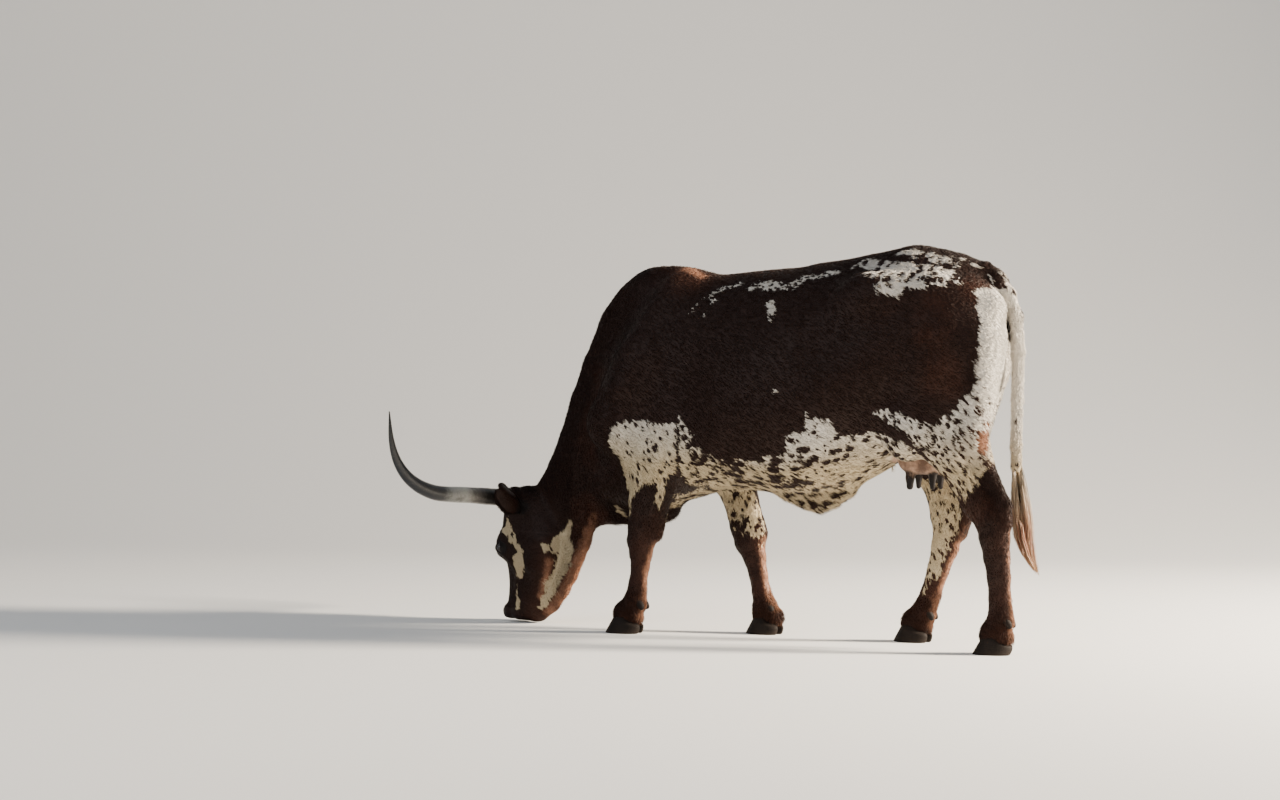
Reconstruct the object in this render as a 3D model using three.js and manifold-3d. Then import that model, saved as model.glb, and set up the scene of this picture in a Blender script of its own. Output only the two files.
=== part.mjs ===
// A Texas longhorn cow that grazes, life size, in millimetres.
// The cow faces -X, its left side is -Y, and its soles stand on Z = 0.
import * as THREE from 'three';
import { mergeVertices } from 'three/addons/utils/BufferGeometryUtils.js';
import Module from 'manifold-3d';

const wasm = await Module();
wasm.setup();

// Driving dimensions
const touchGap = 0.3;            // space between two pieces that touch
const spineHeight = 1335;        // lowest point of the back
const withersHeight = 1353;      // top of the hump over the shoulders
const hipHeight = 1405;          // top of the rump
const bellyHeight = 520;         // underside of the barrel
const barrelHalfWidth = 318;     // widest point of the belly
const hookHalfSpan = 232;        // hip bones, from the middle
const shoulderHalfSpan = 205;    // points of the shoulders, from the middle
const headLength = 498;          // poll to muzzle
const headYaw = 17;              // degrees that the face turns to the cow's right
const faceLean = 3;              // degrees that the muzzle leads the poll
const poll = new THREE.Vector3(-1126, 70, 505);
const eyeRadius = 20;
const eyeHalfLength = 23;        // from the middle of an eye to each corner of its lids
const eyeHalfOpening = 12;       // from the middle of an eye to each lid
const eyeTilt = 16;              // degrees that the eye's long axis turns from the face's line
const hornBaseRadius = 38;
const hornReach = 659;           // tip of a horn, from the middle of the head
const hornRise = 291;            // tip of a horn, above the poll
const hornLead = 69;             // tip of a horn, in front of the poll
const earReach = 238;            // tip of an ear, from the middle of the head
const hoofHeight = 74;
const clawWidth = 57;
const clawLength = 122;
const clawCleft = 2.5;           // half of the slit between two claws
const teatRadius = 17;
const teatTipRadius = 12;
const dockRadius = 31;           // tail, at its root
const dockEndRadius = 19;        // tail, where the switch starts
const switchLocks = 18;
const kneeCut = 345;             // height at which a front leg is parted
const hockCut = 400;             // height at which a hind leg is parted
const dockEnd = 640;             // height at which the tail's switch starts
const switchTip = 262;           // lowest hair of the switch

// Width of the mesh cells of each part, fine where the forms are small
const cells = { head: 27, neck: 44, torso: 58, upperFrontLeg: 33, upperHindLeg: 42, lowerLeg: 28, udder: 30 };

// Colours and finish of each material
const finishes = {
  coat: { color: 0x4a2a1c, roughness: 0.75, metalness: 0 },
  pale_skin: { color: 0xc9a48c, roughness: 0.6, metalness: 0 },
  dark_skin: { color: 0x2b1d18, roughness: 0.55, metalness: 0 },
  horn: { color: 0x6f675c, roughness: 0.4, metalness: 0 },
  hoof: { color: 0x2a241f, roughness: 0.5, metalness: 0 },
  eye: { color: 0x120c09, roughness: 0.08, metalness: 0 },
  tail_hair: { color: 0x9a7a5c, roughness: 0.8, metalness: 0 },
};

// Small helpers
const clamp = THREE.MathUtils.clamp;
const lerp = THREE.MathUtils.lerp;
const smoothstep = THREE.MathUtils.smoothstep;
const radians = THREE.MathUtils.degToRad;
const vec = (x, y, z) => new THREE.Vector3(x, y, z);

// Repeatable random numbers between 0 and 1
function randomSource(seed) {
  let state = seed;
  return () => {
    state = (state * 1664525 + 1013904223) % 4294967296;
    return state / 4294967296;
  };
}

// Fields: each is negative inside a shape, zero on its surface and positive outside

// An oval ball
function ball(cx, cy, cz, rx, ry, rz) {
  return (x, y, z) => {
    const dx = (x - cx) / rx;
    const dy = (y - cy) / ry;
    const dz = (z - cz) / rz;
    const near = Math.hypot(dx, dy, dz);
    const slope = Math.hypot(dx / rx, dy / ry, dz / rz);
    return slope < 1e-9 ? -Math.min(rx, ry, rz) : near * (near - 1) / slope;
  };
}

// A chain of tapering limbs through [x, y, z, radius along, radius across (Y)]
function limb(...stops) {
  const spans = [];
  for (let i = 0; i < stops.length - 1; i += 1) {
    const [ax, ay, az, aAlong, aAcross] = stops[i];
    const [bx, by, bz, bAlong, bAcross] = stops[i + 1];
    const dx = bx - ax;
    const dy = by - ay;
    const dz = bz - az;
    const reach = dx * dx + dy * dy + dz * dz;
    spans.push({ ax, ay, az, dx, dy, dz, reach, aAlong, aAcross, bAlong, bAcross });
  }
  return (x, y, z) => {
    let best = 1e9;
    for (const s of spans) {
      const dot = (x - s.ax) * s.dx + (y - s.ay) * s.dy + (z - s.az) * s.dz;
      const t = clamp(dot / s.reach, 0, 1);
      const ex = x - s.ax - t * s.dx;
      const ey = y - s.ay - t * s.dy;
      const ez = z - s.az - t * s.dz;
      const along = s.aAlong + t * (s.bAlong - s.aAlong);
      const across = s.aAcross + t * (s.bAcross - s.aAcross);
      const flat = Math.hypot(ex, ez);
      const near = Math.hypot(flat / along, ey / across);
      const slope = Math.hypot(flat / along / along, ey / across / across);
      const d = slope < 1e-9 ? -Math.min(along, across) : near * (near - 1) / slope;
      best = best > 1e8 ? d : blendMin(best, d, 10);
    }
    return best;
  };
}

// The same shape on both sides of the animal
const bothSides = (field) => (x, y, z) => field(x, Math.abs(y), z);

// The lesser of two values, rounded where they are closer than k
function blendMin(a, b, k) {
  const h = Math.max(k - Math.abs(a - b), 0) / k;
  return Math.min(a, b) - h * h * k / 4;
}

const blendMax = (a, b, k) => -blendMin(-a, -b, k);

// Shapes grown into each other: each entry is [field, width of the blend]
function grown(entries) {
  return (x, y, z) => {
    let d = entries[0][0](x, y, z);
    for (let i = 1; i < entries.length; i += 1) {
      const [field, k] = entries[i];
      d = blendMin(d, field(x, y, z), k);
    }
    return d;
  };
}

// Shapes pressed out of another one
function pressed(base, entries) {
  return (x, y, z) => {
    let d = base(x, y, z);
    for (const [field, k] of entries) d = blendMax(d, -field(x, y, z), k);
    return d;
  };
}

// Smooth values through stations that are sorted by their place "at"
function through(stations, at) {
  const last = stations.length - 1;
  const place = clamp(at, stations[0].at, stations[last].at);
  let i = 0;
  while (i < last - 1 && stations[i + 1].at < place) i += 1;
  const before = stations[Math.max(i - 1, 0)];
  const a = stations[i];
  const b = stations[i + 1];
  const after = stations[Math.min(i + 2, last)];
  const step = b.at - a.at;
  const t = (place - a.at) / step;
  const result = {};
  for (const key of Object.keys(a)) {
    const slopeA = (b[key] - before[key]) / (b.at - before.at) * step;
    const slopeB = (after[key] - a[key]) / (after.at - a.at) * step;
    const t2 = t * t;
    const t3 = t2 * t;
    result[key] = (2 * t3 - 3 * t2 + 1) * a[key] + (t3 - 2 * t2 + t) * slopeA
      + (3 * t2 - 2 * t3) * b[key] + (t3 - t2) * slopeB;
  }
  return result;
}

// A body with a section at each station: high and low limits, half width and the widest level.
// "square" above 2 gives a boxier section and below 2 a more pointed one.
function lofted(stations, endRound, squareHigh, squareLow) {
  const first = stations[0].at;
  const last = stations[stations.length - 1].at;
  return (at, across, level) => {
    const s = through(stations, at);
    const over = level > s.wide;
    const tall = over ? s.high - s.wide : s.wide - s.low;
    const square = over ? squareHigh : squareLow;
    const w = Math.abs(across) / s.half;
    const v = Math.abs(level - s.wide) / tall;
    const near = (w ** square + v ** square) ** (1 / square);
    if (near < 0.05) return -0.9 * Math.min(s.half, tall);
    const gw = (w / near) ** (square - 1) / s.half;
    const gv = (v / near) ** (square - 1) / tall;
    const side = (near - 1) / Math.hypot(gw, gv);
    const end = Math.max(first - at, at - last);
    return blendMax(side, end, endRound);
  };
}

// Trunk, from the chest to the rump
const trunkStations = [
  { at: -690, high: 1080, low: 480, half: 150, wide: 760 },
  { at: -600, high: 1215, low: 455, half: 190, wide: 780 },
  { at: -500, high: 1290, low: 450, half: 218, wide: 800 },
  { at: -400, high: 1315, low: 492, half: 240, wide: 820 },
  { at: -250, high: 1322, low: 536, half: 275, wide: 820 },
  { at: -100, high: spineHeight, low: 534, half: 305, wide: 820 },
  { at: 50, high: 1345, low: bellyHeight, half: barrelHalfWidth, wide: 830 },
  { at: 200, high: 1358, low: 545, half: 312, wide: 860 },
  { at: 330, high: 1382, low: 606, half: 282, wide: 930 },
  { at: 450, high: hipHeight, low: 685, half: 255, wide: 1000 },
  { at: 570, high: 1388, low: 760, half: 228, wide: 1020 },
  { at: 680, high: 1345, low: 820, half: 190, wide: 1050 },
  { at: 760, high: 1262, low: 880, half: 135, wide: 1070 },
  { at: 800, high: 1190, low: 930, half: 90, wide: 1070 },
];

// Trunk with the bones and muscles that show through the hide
function trunkField() {
  const barrel = lofted(trunkStations, 60, 1.85, 2.15);
  const onBody = (field) => bothSides(field);
  const masses = [
    [barrel, 0],
    [ball(-485, 0, 1262, 165, 62, withersHeight - 1262), 60],
    [limb([-640, 0, 1222, 56, 42], [-560, 0, 1258, 56, 46]), 50],
    // shoulder blade, its ridge and the point of the shoulder
    [onBody(limb([-420, 70, 1240, 75, 48], [-520, 165, 1010, 105, 62], [-640, 175, 790, 88, 62])), 60],
    [onBody(limb([-445, 100, 1270, 26, 22], [-600, 214, 900, 30, 24])), 40],
    [onBody(ball(-660, shoulderHalfSpan - 48, 755, 62, 58, 80)), 50],
    // breast between the shoulders, and the hanging brisket
    [ball(-640, 0, 620, 120, 118, 165), 60],
    [limb([-800, 14, 462, 44, 17], [-700, 5, 447, 55, 22], [-600, 0, 442, 52, 28],
      [-500, 0, 458, 50, 34]), 45],
    // rump: hip bones, loin ridge, pin bones and the hind quarters
    [onBody(ball(338, hookHalfSpan - 42, 1226, 78, 42, 62)), 90],
    [limb([120, 0, 1282, 56, 60], [300, 0, 1300, 66, 62], [470, 0, 1318, 76, 64],
      [600, 0, 1304, 66, 54]), 60],
    [onBody(limb([345, 190, 1235, 45, 34], [560, 150, 1235, 60, 46], [745, 82, 1195, 52, 38])), 60],
    [onBody(ball(758, 84, 1190, 42, 34, 40)), 36],
    // fold of skin at the flank, and the navel flap
    [onBody(limb([320, 205, 782, 42, 24], [400, 212, 798, 44, 28], [470, 205, 782, 50, 34],
      [520, 200, 762, 52, 36])), 44],
    [limb([0, 0, 532, 30, 26], [60, 0, 508, 36, 24], [105, 0, 496, 40, 22], [150, 0, 512, 36, 24],
      [205, 0, 545, 30, 26]), 70],
    // root of the tail
    [limb([640, 0, 1322, 40, 36], [705, 0, 1318, 37, 33], [755, 0, 1290, 33, 29]), 30],
  ];
  const hollows = [
    // hollow of the flank, in front of the hip bone, and the groove behind the shoulder
    [onBody(ball(225, 425, 1090, 100, 110, 95)), 120],
    [onBody(ball(-335, 352, 930, 62, 85, 210)), 110],
    [onBody(ball(640, 262, 1130, 105, 60, 120)), 80],
    // furrow under the tail
    [limb([845, 0, 1200, 60, 34], [850, 0, 900, 60, 30]), 30],
  ];
  return pressed(grown(masses), hollows);
}

// Neck, bent down to the ground and a little to the cow's right
function neckField() {
  return grown([
    [limb([-560, 0, 1175, 120, 70], [-665, 3, 1105, 124, 70], [-748, 10, 960, 108, 64],
      [-812, 18, 830, 96, 60], [-868, 30, 690, 90, 58], [-925, 45, 580, 86, 62],
      [-985, 62, 508, 76, 66]), 0],
    [limb([-600, 0, 930, 150, 135], [-720, 8, 780, 128, 108], [-800, 20, 650, 112, 92],
      [-860, 38, 540, 105, 84], [-905, 50, 440, 90, 76]), 60],
    [limb([-680, 4, 620, 100, 92], [-750, 16, 540, 90, 76], [-815, 32, 470, 74, 60],
      [-858, 45, 430, 60, 50]), 50],
  ]);
}

// Legs: each is a list of chains of [x, y, z, radius along, radius across]
const legs = {
  front_left: {
    chains: [
      [[-650, -168, 760, 78, 60], [-450, -165, 660, 90, 60]],
      [[-462, -165, 640, 88, 56], [-502, -156, 490, 72, 50], [-523, -147, 395, 58, 45],
        [-532, -143, 340, 52, 46], [-534, -141, 295, 43, 40], [-536, -140, 250, 35, 31],
        [-545, -140, 180, 34, 30], [-557, -140, 115, 41, 38], [-580, -140, 72, 38, 38],
        [-598, -140, 46, 42, 44]],
      [[-448, -160, 560, 50, 40], [-474, -146, 365, 28, 24]],
    ],
    hoof: { x: -598, y: -140, turn: 4 },
    rootSpan: [-585, -372],
    footSpan: [-720, -480],
  },
  front_right: {
    chains: [
      [[-600, 170, 760, 78, 60], [-395, 165, 680, 90, 60]],
      [[-342, 162, 640, 88, 56], [-262, 143, 500, 67, 50], [-229, 130, 395, 63, 46],
        [-211, 125, 335, 57, 47], [-193, 122, 285, 43, 39], [-176, 120, 220, 35, 31],
        [-162, 120, 155, 35, 31], [-150, 120, 105, 42, 38], [-146, 121, 68, 38, 38],
        [-150, 122, 44, 42, 44]],
      [[-300, 155, 570, 50, 40], [-172, 126, 372, 28, 24]],
    ],
    hoof: { x: -150, y: 122, turn: -8 },
    rootSpan: [-475, -205],
    footSpan: [-260, -40],
  },
  hind_left: {
    chains: [
      [[560, -128, 1060, 185, 100], [530, -150, 840, 145, 90], [500, -182, 745, 92, 62]],
      [[735, -112, 1080, 85, 66], [714, -132, 900, 85, 64], [695, -146, 745, 80, 54]],
      [[565, -184, 752, 74, 58], [655, -170, 665, 64, 50], [700, -160, 590, 54, 44],
        [741, -154, 515, 53, 42], [787, -151, 458, 52, 42], [804, -150, 400, 53, 42],
        [813, -150, 330, 46, 35], [821, -150, 265, 41, 31], [826, -150, 190, 39, 31],
        [828, -150, 118, 44, 38], [806, -150, 70, 39, 38], [794, -150, 45, 42, 44]],
      [[735, -148, 690, 54, 38], [788, -150, 605, 26, 18], [836, -150, 512, 25, 21],
        [840, -150, 450, 26, 26]],
    ],
    hoof: { x: 801, y: -150, turn: 12 },
    rootSpan: [372, 960],
    footSpan: [660, 960],
  },
  hind_right: {
    chains: [
      [[560, 128, 1060, 185, 100], [485, 150, 830, 145, 90], [430, 180, 730, 92, 62]],
      [[678, 112, 1080, 85, 66], [650, 132, 900, 85, 64], [604, 146, 745, 80, 54]],
      [[430, 182, 720, 92, 60], [474, 168, 625, 72, 52], [510, 155, 540, 52, 44],
        [533, 146, 460, 54, 41], [546, 142, 412, 55, 42], [536, 141, 348, 50, 38],
        [511, 140, 262, 40, 31], [487, 140, 182, 37, 30], [457, 140, 108, 43, 38],
        [432, 140, 66, 39, 38], [418, 140, 44, 42, 44]],
      [[560, 150, 650, 54, 38], [588, 143, 540, 26, 18], [606, 141, 444, 25, 21],
        [592, 141, 398, 26, 26]],
    ],
    hoof: { x: 418, y: 140, turn: -8 },
    rootSpan: [372, 900],
    footSpan: [280, 620],
  },
};

function legFields() {
  const entries = [];
  for (const leg of Object.values(legs)) {
    leg.chains.forEach((chain, i) => entries.push([limb(...chain), i < 2 ? 46 : 22]));
  }
  return entries;
}

function udderField() {
  return [
    [ball(510, 0, 692, 104, 98, 88), 18],
    [ball(590, 0, 760, 60, 72, 90), 36],
    [bothSides(ball(470, 38, 655, 56, 42, 48)), 20],
    [bothSides(ball(540, 38, 650, 52, 42, 44)), 20],
  ];
}

// Head, in its own frame: ahead (out of the forehead), left, and down the face from the poll
const headFrame = new THREE.Matrix4();
{
  const yaw = radians(headYaw);
  const lean = radians(faceLean);
  const level = vec(-Math.cos(yaw), Math.sin(yaw), 0);
  const left = vec(-Math.sin(yaw), -Math.cos(yaw), 0);
  const down = level.clone().multiplyScalar(Math.sin(lean)).add(vec(0, 0, -Math.cos(lean)));
  const ahead = left.clone().cross(down).negate();
  headFrame.makeBasis(ahead, left, down).setPosition(poll);
}
const headInverse = headFrame.clone().invert();
const onHead = (ahead, left, down) => vec(ahead, left, down).applyMatrix4(headFrame);

const headStations = [
  { at: -14, high: 0, low: -58, half: 60, wide: -26 },
  { at: 12, high: 28, low: -106, half: 84, wide: -18 },
  { at: 65, high: 46, low: -165, half: 92, wide: -12 },
  { at: 130, high: 53, low: -214, half: 96, wide: -12 },
  { at: 205, high: 52, low: -240, half: 96, wide: -24 },
  { at: 260, high: 45, low: -236, half: 85, wide: -48 },
  { at: 310, high: 37, low: -214, half: 70, wide: -52 },
  { at: 350, high: 33, low: -186, half: 62, wide: -48 },
  { at: 400, high: 30, low: -156, half: 60, wide: -40 },
  { at: 445, high: 30, low: -126, half: 62, wide: -32 },
  { at: headLength - 15, high: 28, low: -98, half: 57, wide: -28 },
  { at: headLength, high: 19, low: -84, half: 50, wide: -28 },
];
const eyeAt = { ahead: 10, left: 103, down: 220 };

function headField() {
  const loft = lofted(headStations, 34, 2.7, 2.1);
  const skull = (ahead, left, down) => loft(down, left, ahead);
  const masses = [
    [skull, 0],
    // bony rim of the eye, base of the horn, cheek and jaw
    [bothSides(ball(10, 86, 208, 39, 28, 58)), 24],
    [bothSides(ball(-2, 84, 256, 34, 27, 46)), 24],
    [bothSides(ball(-16, 80, 30, 46, 30, 43)), 26],
    [bothSides(ball(-128, 60, 236, 78, 28, 84)), 26],
    [bothSides(limb([-40, 62, 310, 17, 12], [-22, 76, 252, 19, 12])), 20],
    // nostril wings, upper lip and chin
    [bothSides(ball(7, 42, 464, 26, 24, 31)), 12],
    [bothSides(ball(-38, 40, 456, 32, 24, 35)), 14],
    [ball(-86, 0, 462, 30, 38, 33), 16],
    // nape, where the neck grows on
    [ball(-70, 0, 40, 66, 70, 46), 34],
    // fold of skin under the throat and jaw
    [limb([-310, -5, 88, 56, 32], [-291, -5, 160, 58, 27], [-266, -5, 225, 54, 23],
      [-242, -4, 285, 52, 20], [-211, 0, 345, 50, 19], [-171, 0, 405, 46, 19],
      [-120, 0, 452, 38, 24]), 34],
  ];
  const hollows = [
    [bothSides(ball(-64, 118, 125, 40, 28, 58)), 28],
    [bothSides(ball(12, 100, 345, 48, 36, 84)), 32],
    [bothSides(ball(-92, 92, 372, 46, 30, 66)), 30],
    [ball(66, 0, 220, 16, 36, 66), 20],
  ];
  const shape = pressed(grown(masses), hollows);
  const e = headInverse.elements;
  return (x, y, z) => shape(
    e[0] * x + e[4] * y + e[8] * z + e[12],
    e[1] * x + e[5] * y + e[9] * z + e[13],
    e[2] * x + e[6] * y + e[10] * z + e[14],
  );
}

const bodyField = grown([
  [trunkField(), 0],
  [neckField(), 90],
  [headField(), 34],
  ...legFields(),
  ...udderField(),
]);

// Which of a cell's 256 patterns of full corners have two separate patches of surface
const cornerSteps = [0, 1, 2, 3, 4, 5, 6, 7].map((c) => [c & 1, (c >> 1) & 1, c >> 2]);

function joinedCorners(pattern) {
  const members = cornerSteps.map((_, c) => c).filter((c) => (pattern >> c) & 1);
  if (members.length === 0) return true;
  const reached = new Set([members[0]]);
  const queue = [members[0]];
  while (queue.length > 0) {
    const corner = queue.pop();
    for (const bit of [1, 2, 4]) {
      const next = corner ^ bit;
      if (((pattern >> next) & 1) && !reached.has(next)) {
        reached.add(next);
        queue.push(next);
      }
    }
  }
  return reached.size === members.length;
}

const tangled = Array.from({ length: 256 }, (_, p) => !joinedCorners(p) || !joinedCorners(255 - p));

// Slope of a field, by small differences
function slopeOf(field, p) {
  const e = 0.5;
  return vec(
    field(p.x + e, p.y, p.z) - field(p.x - e, p.y, p.z),
    field(p.x, p.y + e, p.z) - field(p.x, p.y - e, p.z),
    field(p.x, p.y, p.z + e) - field(p.x, p.y, p.z - e),
  );
}

// Closed mesh of a field's surface inside a box, with faces about one cell wide
function skinMesh(field, low, high, cell) {
  const [nx, ny, nz] = [0, 1, 2].map((i) => Math.ceil((high[i] - low[i]) / cell) + 3);
  const place = (i, axis) => low[axis] + (i - 1) * cell;
  const index = (i, j, k) => (k * ny + j) * nx + i;
  const value = new Float64Array(nx * ny * nz).fill(cell);
  for (let k = 1; k < nz - 1; k += 1) {
    for (let j = 1; j < ny - 1; j += 1) {
      for (let i = 1; i < nx - 1; i += 1) {
        value[index(i, j, k)] = field(place(i, 0), place(j, 1), place(k, 2)) || 1e-6;
      }
    }
  }
  const cornersOf = (i, j, k) => cornerSteps.map(([a, b, c]) => index(i + a, j + b, k + c));
  const patternOf = (corners) => corners.reduce((sum, c, n) => sum + (value[c] < 0 ? 1 << n : 0), 0);

  // fill the least empty corner of a cell that would hold two patches
  for (let changed = true; changed;) {
    changed = false;
    for (let k = 0; k < nz - 1; k += 1) {
      for (let j = 0; j < ny - 1; j += 1) {
        for (let i = 0; i < nx - 1; i += 1) {
          const corners = cornersOf(i, j, k);
          if (tangled[patternOf(corners)]) {
            const empty = corners.filter((c) => value[c] >= 0).sort((a, b) => value[a] - value[b]);
            value[empty[0]] = -cell * 0.05;
            changed = true;
          }
        }
      }
    }
  }

  // one vertex in each cell that the surface crosses
  const points = [];
  const vertexOf = new Int32Array(nx * ny * nz).fill(-1);
  for (let k = 0; k < nz - 1; k += 1) {
    for (let j = 0; j < ny - 1; j += 1) {
      for (let i = 0; i < nx - 1; i += 1) {
        const corners = cornersOf(i, j, k);
        const pattern = patternOf(corners);
        if (pattern !== 0 && pattern !== 255) {
          vertexOf[index(i, j, k)] = points.length;
          points.push(cellPoint(corners, [place(i, 0), place(j, 1), place(k, 2)]));
        }
      }
    }
  }

  function cellPoint(corners, start) {
    const sum = vec(0, 0, 0);
    let count = 0;
    for (let c = 0; c < 8; c += 1) {
      for (let axis = 0; axis < 3; axis += 1) {
        const other = c | (1 << axis);
        const a = value[corners[c]];
        const b = value[corners[other]];
        if (other !== c && (a < 0) !== (b < 0)) {
          const at = cornerSteps[c].map((step, n) => step + (n === axis ? a / (a - b) : 0));
          sum.add(vec(...at));
          count += 1;
        }
      }
    }
    return sum.multiplyScalar(cell / count).add(vec(...start));
  }

  // pull each vertex onto the true surface, but not those on the open ends of the box
  for (const p of points) {
    for (let pass = 0; pass < 3; pass += 1) {
      const d = field(p.x, p.y, p.z);
      const slope = slopeOf(field, p);
      const steep = slope.length();
      if (steep > 0.2 && Math.abs(d) < cell) {
        p.addScaledVector(slope, clamp(-d / steep, -cell / 3, cell / 3) / steep);
      }
    }
  }

  // two triangles round each edge of the grid that the surface crosses
  const faces = [];
  const around = [[[0, 1, 0], [0, 0, 1]], [[0, 0, 1], [1, 0, 0]], [[1, 0, 0], [0, 1, 0]]];
  for (let k = 0; k < nz - 1; k += 1) {
    for (let j = 0; j < ny - 1; j += 1) {
      for (let i = 0; i < nx - 1; i += 1) {
        for (let axis = 0; axis < 3; axis += 1) {
          const ahead = cornerSteps[1 << axis];
          const inside = value[index(i, j, k)] < 0;
          const next = value[index(i + ahead[0], j + ahead[1], k + ahead[2])] < 0;
          if (inside !== next) {
            const [u, w] = around[axis];
            const ring = [
              vertexOf[index(i, j, k)],
              vertexOf[index(i - u[0], j - u[1], k - u[2])],
              vertexOf[index(i - u[0] - w[0], j - u[1] - w[1], k - u[2] - w[2])],
              vertexOf[index(i - w[0], j - w[1], k - w[2])],
            ];
            if (!inside) ring.reverse();
            const [a, b, c, d] = ring;
            if (points[a].distanceTo(points[c]) < points[b].distanceTo(points[d])) {
              faces.push(a, b, c, a, c, d);
            } else {
              faces.push(a, b, d, b, c, d);
            }
          }
        }
      }
    }
  }
  const geometry = new THREE.BufferGeometry();
  geometry.setAttribute('position', new THREE.Float32BufferAttribute(points.flatMap((p) => p.toArray()), 3));
  geometry.setIndex(faces);
  return geometry;
}

// Solids: manifold-3d joins and cuts them

function solidOf(geometry) {
  const bare = geometry.clone();
  bare.deleteAttribute('normal');
  bare.deleteAttribute('uv');
  const merged = mergeVertices(bare, 1e-3);
  return new wasm.Manifold(new wasm.Mesh({
    numProp: 3,
    vertProperties: new Float32Array(merged.attributes.position.array),
    triVerts: new Uint32Array(merged.index.array),
  }));
}

function geometryOf(solid) {
  const mesh = solid.getMesh();
  const geometry = new THREE.BufferGeometry();
  geometry.setAttribute('position', new THREE.BufferAttribute(mesh.vertProperties, 3));
  geometry.setIndex(new THREE.BufferAttribute(mesh.triVerts, 1));
  return geometry;
}

// The largest closed body of a solid
function largest(solid) {
  const bodies = solid.decompose();
  return bodies.reduce((best, body) => (body.volume() > best.volume() ? body : best));
}

const joined = (solids) => solids.reduce((sum, solid) => sum.add(solid));
const without = (solid, others) => others.reduce((rest, other) => rest.subtract(other), solid);

// Everything on one side of a plane: the side that the direction points to
function halfSpace(point, direction, gap) {
  const size = 4000;
  const toward = direction.clone().normalize();
  const turn = new THREE.Quaternion().setFromUnitVectors(vec(0, 0, 1), toward);
  const centre = point.clone().addScaledVector(toward, size / 2 + gap);
  const box = new THREE.BoxGeometry(size, size, size);
  box.applyQuaternion(turn);
  box.translate(centre.x, centre.y, centre.z);
  return solidOf(box);
}

function boxSolid(low, high) {
  const box = new THREE.BoxGeometry(high[0] - low[0], high[1] - low[1], high[2] - low[2]);
  box.translate((low[0] + high[0]) / 2, (low[1] + high[1]) / 2, (low[2] + high[2]) / 2);
  return solidOf(box);
}

// A cylinder bent along a curve, its ends moved out by grow. shapeAt(t, angle) gives the offsets
// [side, lift] of its wall.
function bentTube(curve, sides, steps, upHint, grow, shapeAt) {
  const tube = new THREE.CylinderGeometry(1, 1, 1, sides, steps);
  const place = tube.attributes.position;
  for (let i = 0; i < place.count; i += 1) {
    const t = clamp(0.5 - place.getY(i), 0, 1);
    const onAxis = Math.hypot(place.getX(i), place.getZ(i)) < 0.5;
    const angle = Math.atan2(place.getZ(i), place.getX(i));
    const point = curve.getPointAt(t);
    const along = curve.getTangentAt(t);
    const side = upHint.clone().cross(along).normalize();
    const lift = along.clone().cross(side).normalize();
    const [a, b] = shapeAt(t, onAxis ? null : angle);
    const end = Math.max(1 - t * 1e4, 0) - Math.max(1 - (1 - t) * 1e4, 0);
    point.addScaledVector(side, a).addScaledVector(lift, b).addScaledVector(along, -end * grow);
    place.setXYZ(i, point.x, point.y, point.z);
  }
  const solid = solidOf(tube);
  return solid.volume() > 0 ? solid : solidOf(turnedOver(tube));
}

// The same geometry with its faces turned over
function turnedOver(geometry) {
  const flipped = geometry.clone();
  const order = Array.from(flipped.index.array);
  for (let i = 0; i < order.length; i += 3) order.splice(i, 3, order[i], order[i + 2], order[i + 1]);
  flipped.setIndex(order);
  return flipped;
}

// A round or oval tube along a curve, with its radii given at each place
function taperTube(curve, sides, steps, upHint, grow, radiiAt) {
  return bentTube(curve, sides, steps, upHint, grow, (t, angle) => {
    if (angle === null) return [0, 0];
    const [wide, thick] = radiiAt(t);
    return [(wide + grow) * Math.cos(angle), (thick + grow) * Math.sin(angle)];
  });
}

const curveThrough = (points) => new THREE.CatmullRomCurve3(points, false, 'centripetal');

// The pieces of the cow

const sides = { left: 1, right: -1 };

// Horn: out from the poll, then forward and up to its tip
function horn(side, grow) {
  const s = sides[side];
  const rootDepth = 84;
  const curve = curveThrough([
    onHead(-4, s * rootDepth, 28),
    onHead(4, s * 159, 25),
    onHead(12, s * 270, 18),
    onHead(28, s * 418, 11),
    onHead(36, s * 476, -1),
    onHead(45, s * 532, -25),
    onHead(54, s * 580, -62),
    onHead(62, s * 619, -117),
    onHead(66, s * 645, -190),
    onHead(hornLead, s * hornReach, -hornRise),
  ]);
  const radius = (t) => {
    const shaft = 1 - 0.12 * smoothstep(t, 0, 0.15) - 0.26 * t;
    const taper = 1 - 0.92 * Math.max((t - 0.45) / 0.55, 0) ** 1.6;
    return hornBaseRadius * shaft * taper;
  };
  return taperTube(curve, 10, 14, vec(0.2, 0.3, 1), grow, (t) => [radius(t), radius(t)]);
}

// Ear: a leaf with a deep cup that opens forward and down
function ear(side, grow) {
  const s = sides[side];
  const curve = curveThrough([
    onHead(-58, s * 72, 68),
    onHead(-74, s * 150, 36),
    onHead(-84, s * earReach, -28),
  ]);
  const facing = onHead(0.85, s * 0.25, 0.5).sub(onHead(0, 0, 0));
  const width = (t) => (t < 0.45
    ? lerp(17, 41, smoothstep(t, 0, 0.45))
    : lerp(41, 3.5, ((t - 0.45) / 0.55) ** 1.7)) + grow;
  const wall = (t) => lerp(11, 2.6, smoothstep(t, 0.05, 0.5)) + grow;
  return bentTube(curve, 12, 9, facing, grow, (t, angle) => {
    const across = angle === null ? 0 : Math.cos(angle);
    const deep = angle === null ? 0 : Math.sin(angle);
    const cup = lerp(0, 0.62, smoothstep(t, 0.08, 0.35)) * width(t);
    return [width(t) * across, wall(t) * deep + cup * (across * across - 0.5)];
  });
}

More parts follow.
